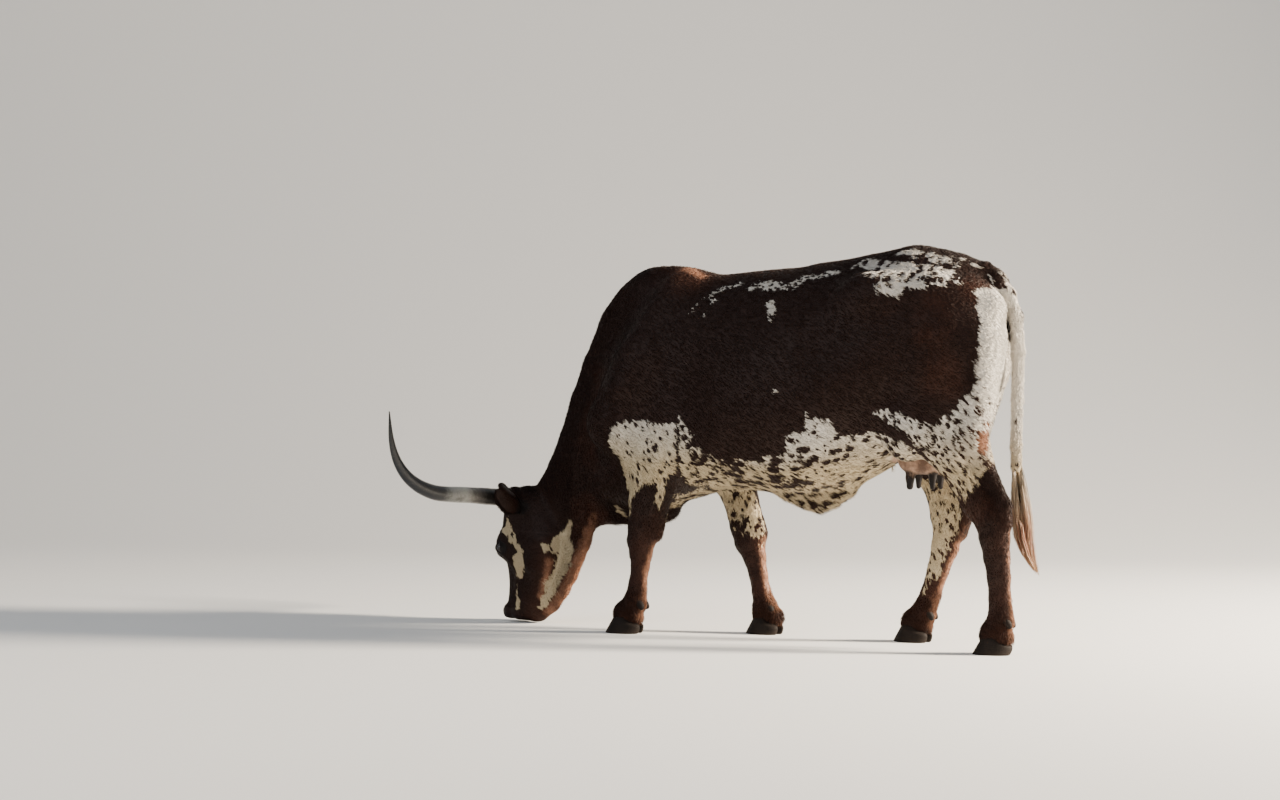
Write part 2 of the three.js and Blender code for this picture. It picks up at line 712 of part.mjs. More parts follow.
function eyeBall(side, radius) {
  const centre = onHead(eyeAt.ahead, sides[side] * eyeAt.left, eyeAt.down);
  const globe = new THREE.SphereGeometry(radius, 12, 8);
  globe.translate(centre.x, centre.y, centre.z);
  return solidOf(globe);
}

// A lid: a fold of skin over the edge of the eye, from one corner to the other
function lid(side, upper) {
  const s = sides[side];
  const rise = upper ? 1 : -1;
  const tilt = radians(eyeTilt);
  const stops = [-1, -0.6, 0, 0.6, 1].map((step) => {
    const along = eyeHalfLength * step;
    const across = rise * eyeHalfOpening * (1 - step * step);
    return onHead(
      eyeAt.ahead + across * Math.cos(tilt) - along * Math.sin(tilt),
      s * (eyeAt.left + 17 - 10 * step * step),
      eyeAt.down + along * Math.cos(tilt) + across * Math.sin(tilt),
    );
  });
  return taperTube(curveThrough(stops), 6, 6, onHead(0, s, 0).sub(onHead(0, 0, 0)), 0, (t) => {
    const full = Math.sin(Math.PI * clamp(t, 0.1, 0.9));
    return [upper ? 4 + 3 * full : 3.5 + 2 * full, 4 + 2 * full];
  });
}

// Line of the mouth, cut from the muzzle back to its corner
function mouthCut() {
  const line = [];
  for (let i = 0; i <= 10; i += 1) {
    const angle = Math.PI * (i / 10 - 0.5);
    line.push(onHead(
      -52 - 12 * Math.sin(angle) ** 2,
      76 * Math.sin(angle),
      396 + 116 * Math.cos(angle) ** 0.8,
    ));
  }
  const facing = onHead(1, 0, 0).sub(onHead(0, 0, 0));
  return taperTube(curveThrough(line), 5, 18, facing, 0, () => [13, 2.6]);
}

function nostril(side) {
  const s = sides[side];
  const hole = new THREE.SphereGeometry(1, 12, 8);
  hole.scale(10, 7, 13);
  hole.applyMatrix4(new THREE.Matrix4().makeRotationX(s * 0.5));
  hole.translate(20, s * 46, 466);
  hole.applyMatrix4(headFrame);
  const solid = solidOf(hole);
  return solid.volume() > 0 ? solid : solidOf(turnedOver(hole));
}

// One of the two claws of a hoof, with a flat sole
function claw(leg, outer, grow) {
  const { x, y, turn } = leg.hoof;
  const shell = new THREE.CylinderGeometry(1, 1, 1, 12, 2);
  const place = shell.attributes.position;
  for (let i = 0; i < place.count; i += 1) {
    const level = place.getY(i) + 0.5;
    const onAxis = Math.hypot(place.getX(i), place.getZ(i)) < 0.5;
    const angle = Math.atan2(place.getZ(i), place.getX(i));
    const toe = onAxis ? 0 : Math.cos(angle);
    const flank = onAxis ? 0 : Math.sin(angle);
    const slope = lerp(1, 0.75, level);
    const length = clawLength / 2 * slope;
    const bulge = flank > 0 ? 1 : 0.3;
    const point = 1 - 0.35 * Math.max(toe, 0) ** 3;
    const alongPlace = -toe * (length + grow) + level * 20 - 6 * Math.max(toe, 0) * (1 - level);
    const room = clawCleft + clawWidth * 0.28;
    const acrossPlace = room + flank * (clawWidth * 0.72 * bulge * point * slope + grow);
    const height = level * (hoofHeight - 26 * clamp(0.5 - toe * 0.6, 0, 1)) + (level > 0.5 ? grow : 0);
    place.setXYZ(i, alongPlace, outer * acrossPlace, height - (level < 0.1 ? grow : 0));
  }
  const posed = outer > 0 ? shell : turnedOver(shell);
  posed.rotateZ(radians(turn));
  posed.translate(x, y, 0);
  const solid = solidOf(posed);
  return solid.volume() > 0 ? solid : solidOf(turnedOver(posed));
}

// One of the two small claws behind the fetlock
function dewclaw(leg, outer, grow) {
  const shin = leg.chains[leg.chains.length - 2];
  const [x, y, z] = shin[shin.length - 3];
  const top = vec(x + 20, y + outer * 20, z + 4);
  const end = vec(x + 45, y + outer * 25, z - 24);
  const curve = new THREE.LineCurve3(top, end);
  return taperTube(curve, 7, 1, vec(0, 1, 0), grow, (t) => {
    const r = lerp(14, 9, t);
    return [r, r];
  });
}

function teat(end, side, grow) {
  const x = end === 'fore' ? 463 : 545;
  const y = -sides[side] * (end === 'fore' ? 46 : 42);
  const top = vec(x + (end === 'fore' ? 3 : -2), y * 0.95, 632);
  const tip = vec(x, y * 1.05, 551);
  const curve = new THREE.LineCurve3(top, tip);
  return taperTube(curve, 8, 3, vec(1, 0, 0), grow, (t) => {
    const r = lerp(teatRadius, teatTipRadius, t) * (t > 0.9 ? 0.72 : 1);
    return [r, r];
  });
}

// Tail: from its root down behind the rump to the switch
const tailLine = curveThrough([
  vec(752, 0, 1292),
  vec(792, 0, 1240),
  vec(820, 0, 1165),
  vec(833, 0, 1046),
  vec(833, 0, 873),
  vec(831, 0, 720),
  vec(834, 0, dockEnd),
]);

function dock(grow) {
  return taperTube(tailLine, 8, 12, vec(0, 1, 0), grow, (t) => {
    const r = lerp(dockRadius, dockEndRadius + 1.5, smoothstep(t, 0, 0.5)) - 1.5 * t;
    return [r, r];
  });
}

// Switch: a core that ends half way, and locks that hang from it
function tailSwitch() {
  const random = randomSource(11);
  const between = (a, b) => a + (b - a) * random();
  const core = taperTube(curveThrough([
    vec(834.2, 0, dockEnd - touchGap),
    vec(841, 0, 560),
    vec(850, 0, 470),
    vec(856, 0, 420),
  ]), 8, 5, vec(0, 1, 0), 0, (t) => {
    const r = lerp(17, 24, Math.sin(Math.PI * Math.min(t * 1.4, 1))) * (1 - 0.65 * t ** 3);
    return [r, r];
  });
  const locks = [];
  for (let i = 0; i < switchLocks; i += 1) {
    const ring = i / switchLocks;
    const angle = i * 2.39996 + between(-0.2, 0.2);
    const rootLevel = lerp(618, 440, ring);
    const drift = lerp(0, 46, (dockEnd - rootLevel) / 200);
    const out = vec(Math.cos(angle), Math.sin(angle), 0);
    const root = vec(838 + drift * 0.4, 0, rootLevel).addScaledVector(out, 9);
    const tipLevel = i === switchLocks - 1 ? switchTip : between(switchTip + 14, switchTip + 150);
    const length = rootLevel - tipLevel;
    const spread = between(15, 34);
    const lean = length * 0.16;
    const curve = curveThrough([
      root,
      root.clone().addScaledVector(out, spread * 0.6).add(vec(lean * 0.2, 0, -length * 0.3)),
      root.clone().addScaledVector(out, spread).add(vec(lean * 0.55, between(-5, 5), -length * 0.66)),
      root.clone().addScaledVector(out, spread * 0.4).add(vec(lean, between(-9, 9), -length)),
    ]);
    const wide = between(12, 16);
    locks.push(taperTube(curve, 3, 4, out, 0, (t) => {
      const full = (1 - t ** 2.2) * lerp(0.7, 1, smoothstep(t, 0, 0.3));
      return [wide * full + 0.5, 5 * full + 0.4];
    }));
  }
  return joined([core, ...locks]);
}

// Cuts between the flesh nodes
const half = touchGap / 2;
const neckCut = { at: vec(-668, 0, 900), toward: vec(-1, 0, -0.16) };
const headCut = { at: onHead(-140, 0, 80), toward: onHead(1, 0, 0.6).sub(onHead(0, 0, 0)) };

function behind(cut) {
  return halfSpace(cut.at, cut.toward.clone().negate(), half);
}

function ahead(cut) {
  return halfSpace(cut.at, cut.toward, half);
}

// Space that belongs to one leg, grown by the gap where it cuts the torso
function legSpace(name, gap) {
  const s = name.endsWith('left') ? -1 : 1;
  const isFront = name.startsWith('front');
  const { rootSpan, footSpan } = legs[name];
  const inner = isFront ? 62 : 52;
  const rootLevel = 700;
  const near = s < 0 ? [-480, inner * s + gap] : [inner * s - gap, 480];
  const box = boxSolid([-800, near[0], -40], [1000, near[1], 1000]);
  const under = isFront
    ? halfSpace(vec(-480, s * 160, 590), vec(0, -s * 0.45, -1), -gap)
    : halfSpace(vec(560, s * 200, 800), vec(0.16, -s * 0.4, -1), -gap);
  const [frontLimit, rearLimit] = [0, 1].map((end) => {
    const facing = end === 0 ? 1 : -1;
    const tilt = vec(rootLevel * facing, 0, (footSpan[end] - rootSpan[end]) * facing);
    return halfSpace(vec(rootSpan[end], 0, rootLevel), tilt, -gap);
  });
  return box.intersect(under).intersect(frontLimit).intersect(rearLimit);
}

function legRegion(name) {
  const isFront = name.startsWith('front');
  const s = name.endsWith('left') ? -1 : 1;
  const { rootSpan, footSpan } = legs[name];
  const xLow = Math.min(rootSpan[0], footSpan[0]) - 60;
  const xHigh = Math.max(rootSpan[1], footSpan[1]) + 60;
  const [yLow, yHigh] = s < 0 ? [-360, 30] : [-30, 360];
  return { low: [xLow, yLow, 0], high: [xHigh, yHigh, isFront ? 760 : 1010] };
}

// Build every piece

const pieces = {};

// The two claws and the dew claws of each foot
for (const [name, leg] of Object.entries(legs)) {
  for (const [word, outer] of [['outer', 1], ['inner', -1]]) {
    const s = name.endsWith('left') ? -outer : outer;
    pieces[`claw_${name}_${word}`] = [claw(leg, s, 0), 'hoof'];
    pieces[`dewclaw_${name}_${word}`] = [dewclaw(leg, s, 0), 'hoof'];
  }
}

// Udder with its four teats
const teats = {};
const teatCutters = [];
for (const end of ['fore', 'rear']) {
  for (const side of Object.keys(sides)) {
    teats[`teat_${end}_${side}`] = [teat(end, side, 0), 'dark_skin'];
    teatCutters.push(teat(end, side, touchGap));
  }
}
const udderSpace = (gap) => boxSolid([372 - gap, -102 - gap, 560], [640 + gap, 102 + gap, 690 + gap]);
const udderMesh = skinMesh(bodyField, [330, -110, 560], [690, 110, 780], cells.udder);
pieces.udder = [largest(without(solidOf(udderMesh).intersect(udderSpace(-half)), teatCutters)), 'pale_skin'];
Object.assign(pieces, teats);

// Legs, parted at the knee or the hock
for (const [name, leg] of Object.entries(legs)) {
  const isFront = name.startsWith('front');
  const cut = isFront ? kneeCut : hockCut;
  const { low, high } = legRegion(name);
  const upperLow = [low[0], low[1], cut - 60];
  const lowerHigh = [high[0], high[1], cut + 40];
  const cell = isFront ? cells.upperFrontLeg : cells.upperHindLeg;
  const cutters = [];
  for (const outer of [1, -1]) {
    cutters.push(claw(leg, outer, touchGap));
    cutters.push(dewclaw(leg, outer, touchGap));
  }
  const space = legSpace(name, -half).subtract(udderSpace(half));
  const upper = solidOf(skinMesh(bodyField, upperLow, high, cell));
  const lower = solidOf(skinMesh(bodyField, [low[0], low[1], 0], lowerHigh, cells.lowerLeg));
  const topPart = upper.intersect(space).intersect(halfSpace(vec(0, 0, cut), vec(0, 0, 1), half));
  const endPart = lower.intersect(space).intersect(halfSpace(vec(0, 0, cut), vec(0, 0, -1), half));
  pieces[`leg_${name}_upper`] = [largest(topPart), 'coat'];
  pieces[`leg_${name}_lower`] = [largest(without(endPart, cutters)), 'coat'];
}

// Tail
pieces.tail_dock = [dock(0), 'coat'];
pieces.tail_switch = [largest(tailSwitch().subtract(dock(touchGap))), 'tail_hair'];

// Torso
const torsoMesh = skinMesh(bodyField, [-860, -380, 380], [880, 380, 1440], cells.torso);
const torsoCutters = [dock(touchGap), udderSpace(half)];
for (const name of Object.keys(legs)) torsoCutters.push(legSpace(name, half));
pieces.torso = [largest(without(solidOf(torsoMesh).intersect(behind(neckCut)), torsoCutters)), 'coat'];

// Neck
const neckMesh = skinMesh(bodyField, [-1120, -230, 250], [-560, 260, 1400], cells.neck);
const neckCutters = [];
for (const name of Object.keys(legs)) neckCutters.push(legSpace(name, half));
const neckPart = solidOf(neckMesh).intersect(ahead(neckCut)).intersect(behind(headCut));
pieces.neck = [largest(without(neckPart, neckCutters)), 'coat'];

// Head, with its horns, ears, eyes, lids, nostrils and mouth
const headMesh = skinMesh(bodyField, [-1280, -140, -10], [-830, 290, 580], cells.head);
const headAdded = [];
const headCutters = [mouthCut()];
for (const side of Object.keys(sides)) {
  headAdded.push(lid(side, true), lid(side, false));
  headCutters.push(eyeBall(side, eyeRadius + touchGap), nostril(side));
  headCutters.push(horn(side, touchGap), ear(side, touchGap));
  pieces[`horn_${side}`] = [horn(side, 0), 'horn'];
  pieces[`ear_${side}`] = [ear(side, 0), 'coat'];
  pieces[`eye_${side}`] = [eyeBall(side, eyeRadius), 'eye'];
}
const headPart = joined([solidOf(headMesh).intersect(ahead(headCut)), ...headAdded]);
pieces.head = [largest(without(headPart, headCutters)), 'coat'];

// Put the origin under the middle of the whole box, on the floor
const whole = new THREE.Box3();
for (const [solid] of Object.values(pieces)) {
  const geometry = geometryOf(solid);
  geometry.computeBoundingBox();
  whole.union(geometry.boundingBox);
}
const middle = whole.getCenter(new THREE.Vector3());
const cow = new THREE.Group();
cow.position.set(-middle.x, -middle.y, -whole.min.z);

for (const [name, [solid, finish]] of Object.entries(pieces)) {
  const mesh = new THREE.Mesh(geometryOf(solid), new THREE.MeshStandardMaterial(finishes[finish]));
  mesh.name = name;
  cow.add(mesh);
}

export default cow;
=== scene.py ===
import math

import bmesh
import bpy
import numpy as np
from mathutils import Matrix, Vector
from mathutils.bvhtree import BVHTree


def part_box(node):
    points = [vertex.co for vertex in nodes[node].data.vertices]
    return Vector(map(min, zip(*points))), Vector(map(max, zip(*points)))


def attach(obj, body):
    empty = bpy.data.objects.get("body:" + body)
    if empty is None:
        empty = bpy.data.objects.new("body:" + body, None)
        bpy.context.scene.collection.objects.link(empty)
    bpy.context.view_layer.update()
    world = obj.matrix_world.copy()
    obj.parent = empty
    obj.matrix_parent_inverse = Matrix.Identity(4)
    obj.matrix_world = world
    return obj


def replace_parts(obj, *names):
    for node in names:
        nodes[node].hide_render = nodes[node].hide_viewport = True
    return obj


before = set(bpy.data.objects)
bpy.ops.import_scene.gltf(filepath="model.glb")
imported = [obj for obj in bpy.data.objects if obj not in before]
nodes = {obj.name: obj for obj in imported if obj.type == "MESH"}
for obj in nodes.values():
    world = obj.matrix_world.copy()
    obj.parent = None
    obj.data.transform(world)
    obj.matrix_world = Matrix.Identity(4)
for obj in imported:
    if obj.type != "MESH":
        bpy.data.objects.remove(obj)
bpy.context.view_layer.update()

random = np.random.default_rng(7)

# Sizes below are in millimetres in the cow's own frame: it faces -X, its left side is -Y and its
# soles stand on Z = 0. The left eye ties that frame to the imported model.
eye_low, eye_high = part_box("eye_left")
EYE_LEFT = np.array([-1176.67, -22.21, 285.82])
SHIFT = (np.array(eye_low) + np.array(eye_high)) / 2 - EYE_LEFT / 1000


def to_row(points):
    """Millimetres in the cow's frame to metres in the row frame."""
    return np.asarray(points, float) / 1000 + SHIFT


def to_cow(points):
    return (np.asarray(points, float) - SHIFT) * 1000


# Camera: level, 8.7 m off, a quarter behind the cow's left side
CAMERA_TURN = math.radians(25)
CAMERA_ROLL = math.radians(0.9)
CAMERA_PLACE = (3169.6, -8110.4, 800)
LENS, SENSOR, FARTHEST = 67.5, 36, 60
HORIZON_OFF_MIDDLE, IMAGE_WIDTH = 15, 1280
camera_data = bpy.data.cameras.new("camera")
camera_data.lens = LENS
camera_data.sensor_width = SENSOR
camera_data.shift_y = HORIZON_OFF_MIDDLE / IMAGE_WIDTH
camera_data.clip_end = FARTHEST
camera = bpy.data.objects.new("camera", camera_data)
bpy.context.scene.collection.objects.link(camera)
right = Vector((math.cos(CAMERA_TURN), math.sin(CAMERA_TURN), 0))
back = Vector((math.sin(CAMERA_TURN), -math.cos(CAMERA_TURN), 0))
turned = Matrix((right, Vector((0, 0, 1)), back)).transposed() @ Matrix.Rotation(CAMERA_ROLL, 3, "Z")
camera.matrix_world = Matrix.Translation(to_row(CAMERA_PLACE)) @ turned.to_4x4()
bpy.context.scene.camera = camera


# Shapes as distances: negative inside, zero on the surface, positive outside

def ball(p, x, y, z, rx, ry, rz):
    radii = np.array([rx, ry, rz])
    d = (p - (x, y, z)) / radii
    near = np.linalg.norm(d, axis=1)
    slope = np.linalg.norm(d / radii, axis=1)
    return np.where(slope < 1e-9, -min(rx, ry, rz), near * (near - 1) / np.maximum(slope, 1e-9))


def ease(t, low, high):
    x = np.clip((np.asarray(t, float) - low) / (high - low), 0, 1)
    return x * x * (3 - 2 * x)


def unit(v):
    return v / np.maximum(np.linalg.norm(v, axis=-1, keepdims=True), 1e-9)


def blend_min(a, b, k):
    h = np.maximum(k - np.abs(a - b), 0) / max(k, 1e-6)
    return np.minimum(a, b) - h * h * k / 4


def blend_max(a, b, k):
    return -blend_min(-a, -b, k)


def limb(p, *stops):
    """A chain of tapering limbs through (x, y, z, radius along, radius across)."""
    best = None
    for a, b in zip(stops, stops[1:]):
        a = np.array(a, float)
        b = np.array(b, float)
        way = b[:3] - a[:3]
        t = np.clip((p - a[:3]) @ way / (way @ way), 0, 1)
        e = p - a[:3] - t[:, None] * way
        along = a[3] + t * (b[3] - a[3])
        across = a[4] + t * (b[4] - a[4])
        flat = np.hypot(e[:, 0], e[:, 2])
        near = np.hypot(flat / along, e[:, 1] / across)
        slope = np.hypot(flat / along ** 2, e[:, 1] / across ** 2)
        d = np.where(slope < 1e-9, -np.minimum(along, across),
                     near * (near - 1) / np.maximum(slope, 1e-9))
        best = d if best is None else blend_min(best, d, 10)
    return best


def through(stations, at):
    """Smooth values through stations of (at, value, value, ...)."""
    table = np.array(stations, float)
    last = len(table) - 1
    place = np.clip(at, table[0, 0], table[last, 0])
    i = np.clip(np.searchsorted(table[:, 0], place, side="right") - 1, 0, last - 1)
    before, a, b, after = table[np.maximum(i - 1,
                                           0)], table[i], table[i + 1], table[np.minimum(i + 2, last)]
    step = (b[:, 0] - a[:, 0])[:, None]
    t = (place - a[:, 0])[:, None] / step
    slope_a = (b - before) / (b[:, :1] - before[:, :1]) * step
    slope_b = (after - a) / (after[:, :1] - a[:, :1]) * step
    t2, t3 = t * t, t * t * t
    out = (2 * t3 - 3 * t2 + 1) * a + (t3 - 2 * t2 + t) * slope_a
    out = out + (3 * t2 - 2 * t3) * b + (t3 - t2) * slope_b
    return out[:, 1:].T


def lofted(at, across, level, stations, end_round, square_high, square_low):
    high, low, half, wide = through(stations, at)
    over = level > wide
    tall = np.where(over, high - wide, wide - low)
    square = np.where(over, square_high, square_low)
    w = np.maximum(np.abs(across) / half, 1e-6)
    v = np.maximum(np.abs(level - wide) / tall, 1e-6)
    near = (w ** square + v ** square) ** (1 / square)
    gw = (w / near) ** (square - 1) / half
    gv = (v / near) ** (square - 1) / tall
    side = (near - 1) / np.maximum(np.hypot(gw, gv), 1e-9)
    side = np.where(near < 0.05, -0.9 * np.minimum(half, tall), side)
    end = np.maximum(stations[0][0] - at, at - stations[-1][0])
    return blend_max(side, end, end_round)


def both(p):
    """The same points, all on the +Y side."""
    return p * (1, 0, 1) + np.abs(p) * (0, 1, 0)


def grown(p, entries, d=None):
    """Joins forms, given as (shape, blend, its values ...), to the distance d."""
    for shape, k, *values in entries:
        more = shape(p, *values)
        d = more if d is None else blend_min(d, more, k)
    return d


# Trunk stations: place, top, bottom, half width, widest level
TRUNK = [
    (-690, 1080, 480, 150, 760), (-600, 1215, 455, 190, 780), (-500, 1290, 450, 218, 800),
    (-400, 1315, 492, 240, 820), (-250, 1322, 536, 275, 820), (-100, 1335, 534, 305, 820),
    (50, 1345, 520, 318, 830), (200, 1358, 545, 312, 860), (330, 1382, 606, 282, 930),
    (450, 1405, 685, 255, 1000), (570, 1388, 760, 228, 1020), (680, 1345, 820, 190, 1050),
    (760, 1262, 880, 135, 1070), (800, 1190, 930, 90, 1070),
]


def barrel(p):
    return lofted(p[:, 0], p[:, 1], p[:, 2], TRUNK, 60, 1.85, 2.15)


def trunk(p):
    q = both(p)
    shoulder = grown(q, [
        (limb, 0, (-420, 70, 1240, 75, 48), (-520, 165, 1010, 105, 62), (-640, 175, 790, 88, 62)),
        (limb, 40, (-445, 100, 1270, 26, 22), (-600, 214, 900, 30, 24)),
        (ball, 50, -660, 157, 755, 62, 58, 80),
    ])
    # hump and crest
    d = grown(p, [
        (ball, 60, -485, 0, 1262, 165, 62, 91),
        (limb, 50, (-640, 0, 1222, 56, 42), (-560, 0, 1258, 56, 46)),
    ], barrel(p))
    d = blend_min(d, shoulder, 60)
    # brisket and dewlap
    d = grown(p, [
        (ball, 60, -640, 0, 620, 120, 118, 165),
        (limb, 45, (-800, 14, 462, 44, 17), (-700, 5, 447, 55, 22), (-600, 0, 442, 52, 28),
         (-500, 0, 458, 50, 34)),
    ], d)
    # hips, loin, rump and the fold of the flank
    d = blend_min(d, ball(q, 338, 190, 1226, 78, 42, 62), 90)
    d = grown(p, [
        (limb, 60, (120, 0, 1282, 56, 60), (300, 0, 1300, 66, 62), (470, 0, 1318, 76, 64),
         (600, 0, 1304, 66, 54)),
    ], d)
    d = grown(q, [
        (limb, 60, (345, 190, 1235, 45, 34), (560, 150, 1235, 60, 46), (745, 82, 1195, 52, 38)),
        (ball, 36, 758, 84, 1190, 42, 34, 40),
        (limb, 44, (320, 205, 782, 42, 24), (400, 212, 798, 44, 28), (470, 205, 782, 50, 34),
         (520, 200, 762, 52, 36)),
    ], d)
    # navel flap and tail head
    d = grown(p, [
        (limb, 70, (0, 0, 532, 30, 26), (60, 0, 508, 36, 24), (105, 0, 496, 40, 22),
         (150, 0, 512, 36, 24), (205, 0, 545, 30, 26)),
        (limb, 30, (640, 0, 1322, 40, 36), (705, 0, 1318, 37, 33), (755, 0, 1290, 33, 29)),
    ], d)
    # hollows of the flank, behind the shoulder, of the rump and under the tail
    d = blend_max(d, -ball(q, 225, 425, 1090, 100, 110, 95), 120)
    d = blend_max(d, -ball(q, -335, 352, 930, 62, 85, 210), 110)
    d = blend_max(d, -ball(q, 640, 262, 1130, 105, 60, 120), 80)
    return blend_max(d, -limb(p, (845, 0, 1200, 60, 34), (850, 0, 900, 60, 30)), 30)


def neck(p):
    return grown(p, [
        (limb, 0, (-560, 0, 1175, 120, 70), (-665, 3, 1105, 124, 70), (-748, 10, 960, 108, 64),
         (-812, 18, 830, 96, 60), (-868, 30, 690, 90, 58), (-925, 45, 580, 86, 62),
         (-985, 62, 508, 76, 66)),
        (limb, 60, (-600, 0, 930, 150, 135), (-720, 8, 780, 128, 108), (-800, 20, 650, 112, 92),
         (-860, 38, 540, 105, 84), (-905, 50, 440, 90, 76)),
        (limb, 50, (-680, 4, 620, 100, 92), (-750, 16, 540, 90, 76), (-815, 32, 470, 74, 60),
         (-858, 45, 430, 60, 50)),
    ])


# Legs: chains of (x, y, z, radius along, radius across), down to the hoof
LEGS = {
    "front_left": [
        [(-650, -168, 760, 78, 60), (-450, -165, 660, 90, 60)],
        [(-462, -165, 640, 88, 56), (-502, -156, 490, 72, 50), (-523, -147, 395, 58, 45),
         (-532, -143, 340, 52, 46), (-534, -141, 295, 43, 40), (-536, -140, 250, 35, 31),
         (-545, -140, 180, 34, 30), (-557, -140, 115, 41, 38), (-580, -140, 78, 37, 37),
         (-592, -140, 62, 35, 36)],
        [(-448, -160, 560, 50, 40), (-474, -146, 365, 28, 24)],
    ],
    "front_right": [
        [(-600, 170, 760, 78, 60), (-395, 165, 680, 90, 60)],
        [(-342, 162, 640, 88, 56), (-262, 143, 500, 67, 50), (-229, 130, 395, 63, 46),
         (-211, 125, 335, 57, 47), (-193, 122, 285, 43, 39), (-176, 120, 220, 35, 31),
         (-162, 120, 155, 35, 31), (-150, 120, 105, 42, 38), (-146, 121, 76, 37, 37),
         (-148, 122, 60, 35, 36)],
        [(-300, 155, 570, 50, 40), (-172, 126, 372, 28, 24)],
    ],
    "hind_left": [
        [(560, -128, 1060, 185, 100), (530, -150, 840, 145, 90), (500, -182, 745, 92, 62)],
        [(735, -112, 1080, 85, 66), (714, -132, 900, 85, 64), (695, -146, 745, 80, 54)],
        [(565, -184, 752, 74, 58), (655, -170, 665, 64, 50), (700, -160, 590, 54, 44),
         (741, -154, 515, 53, 42), (787, -151, 458, 52, 42), (804, -150, 400, 53, 42),
         (813, -150, 330, 46, 35), (821, -150, 265, 41, 31), (826, -150, 190, 39, 31),
         (828, -150, 118, 44, 38), (808, -150, 76, 38, 37), (797, -150, 60, 35, 36)],
        [(735, -148, 690, 54, 38), (788, -150, 605, 26, 18), (836, -150, 512, 25, 21),
         (840, -150, 450, 26, 26)],
    ],
    "hind_right": [
        [(560, 128, 1060, 185, 100), (485, 150, 830, 145, 90), (430, 180, 730, 92, 62)],
        [(678, 112, 1080, 85, 66), (650, 132, 900, 85, 64), (604, 146, 745, 80, 54)],
        [(430, 182, 720, 92, 60), (474, 168, 625, 72, 52), (510, 155, 540, 52, 44),
         (533, 146, 460, 54, 41), (546, 142, 412, 55, 42), (536, 141, 348, 50, 38),
         (511, 140, 262, 40, 31), (487, 140, 182, 37, 30), (457, 140, 108, 43, 38),
         (434, 140, 74, 37, 37), (422, 140, 58, 35, 36)],
        [(560, 150, 650, 54, 38), (588, 143, 540, 26, 18), (606, 141, 444, 25, 21),
         (592, 141, 398, 26, 26)],
    ],
}

# Hooves: the middle of each and its turn in degrees
HOOVES = {"front_left": (-598, -140, 4), "front_right": (-150, 122, -8),
          "hind_left": (801, -150, 12), "hind_right": (418, 140, -8)}

# Head frame: ahead (out of the forehead), left, and down the face from the poll
yaw, lean = math.radians(17), math.radians(3)
head_left = np.array([-math.sin(yaw), -math.cos(yaw), 0])
head_down = np.array([-math.cos(yaw) * math.sin(lean), math.sin(yaw) * math.sin(lean), -math.cos(lean)])
head_ahead = -np.cross(head_left, head_down)
HEAD = np.array([head_ahead, head_left, head_down])
POLL = np.array([-1126, 70, 505])


def on_head(ahead, left, down):
    return POLL + np.array([ahead, left, down]) @ HEAD


def in_head(p):
    return (p - POLL) @ HEAD.T


SKULL = [
    (-14, 0, -58, 60, -26), (12, 28, -106, 84, -18), (65, 46, -165, 92, -12),
    (130, 53, -214, 96, -12), (205, 52, -240, 96, -24), (260, 45, -236, 85, -48),
    (310, 37, -214, 70, -52), (350, 33, -186, 62, -48), (400, 30, -156, 60, -40),
    (445, 30, -126, 62, -32), (483, 28, -98, 57, -28), (498, 19, -84, 50, -28),
]


def head(p):
    h = in_head(p)
    q = both(h)
    d = lofted(h[:, 2], h[:, 1], h[:, 0], SKULL, 34, 2.7, 2.1)
    for shape, k, points, *values in [
        (ball, 24, q, 10, 86, 208, 39, 28, 58), (ball, 24, q, -2, 84, 256, 34, 27, 46),
        (ball, 26, q, -16, 80, 30, 46, 30, 43),
        (ball, 26, q, -128, 60, 236, 78, 28, 84),
        (limb, 20, q, (-40, 62, 310, 17, 12), (-22, 76, 252, 19, 12)),
        (ball, 12, q, 7, 42, 464, 26, 24, 31), (ball, 14, q, -38, 40, 456, 32, 24, 35),
        (ball, 16, h, -86, 0, 462, 30, 38, 33), (ball, 34, h, -70, 0, 40, 66, 70, 46),
        (limb, 34, h, (-310, -5, 88, 56, 32), (-291, -5, 160, 58, 27), (-266, -5, 225, 54, 23),
         (-242, -4, 285, 52, 20), (-211, 0, 345, 50, 19), (-171, 0, 405, 46, 19),
         (-120, 0, 452, 38, 24)),
    ]:
        d = blend_min(d, shape(points, *values), k)
    d = blend_max(d, -ball(q, -64, 118, 125, 40, 28, 58), 28)
    d = blend_max(d, -ball(q, 12, 100, 345, 48, 36, 84), 32)
    d = blend_max(d, -ball(q, -92, 92, 372, 46, 30, 66), 30)
    return blend_max(d, -ball(h, 66, 0, 220, 16, 36, 66), 20)


DOCK = [
    (752, 0, 1292), (792, 0, 1240), (820, 0, 1165), (833, 0, 1046), (833, 0, 873), (831, 0, 720),
    (834, 0, 632),
]


def dock(p):
    widths = (29, 28, 25, 21, 19, 18, 17.5)
    return limb(p, *[(*place, r, r) for place, r in zip(DOCK, widths)])


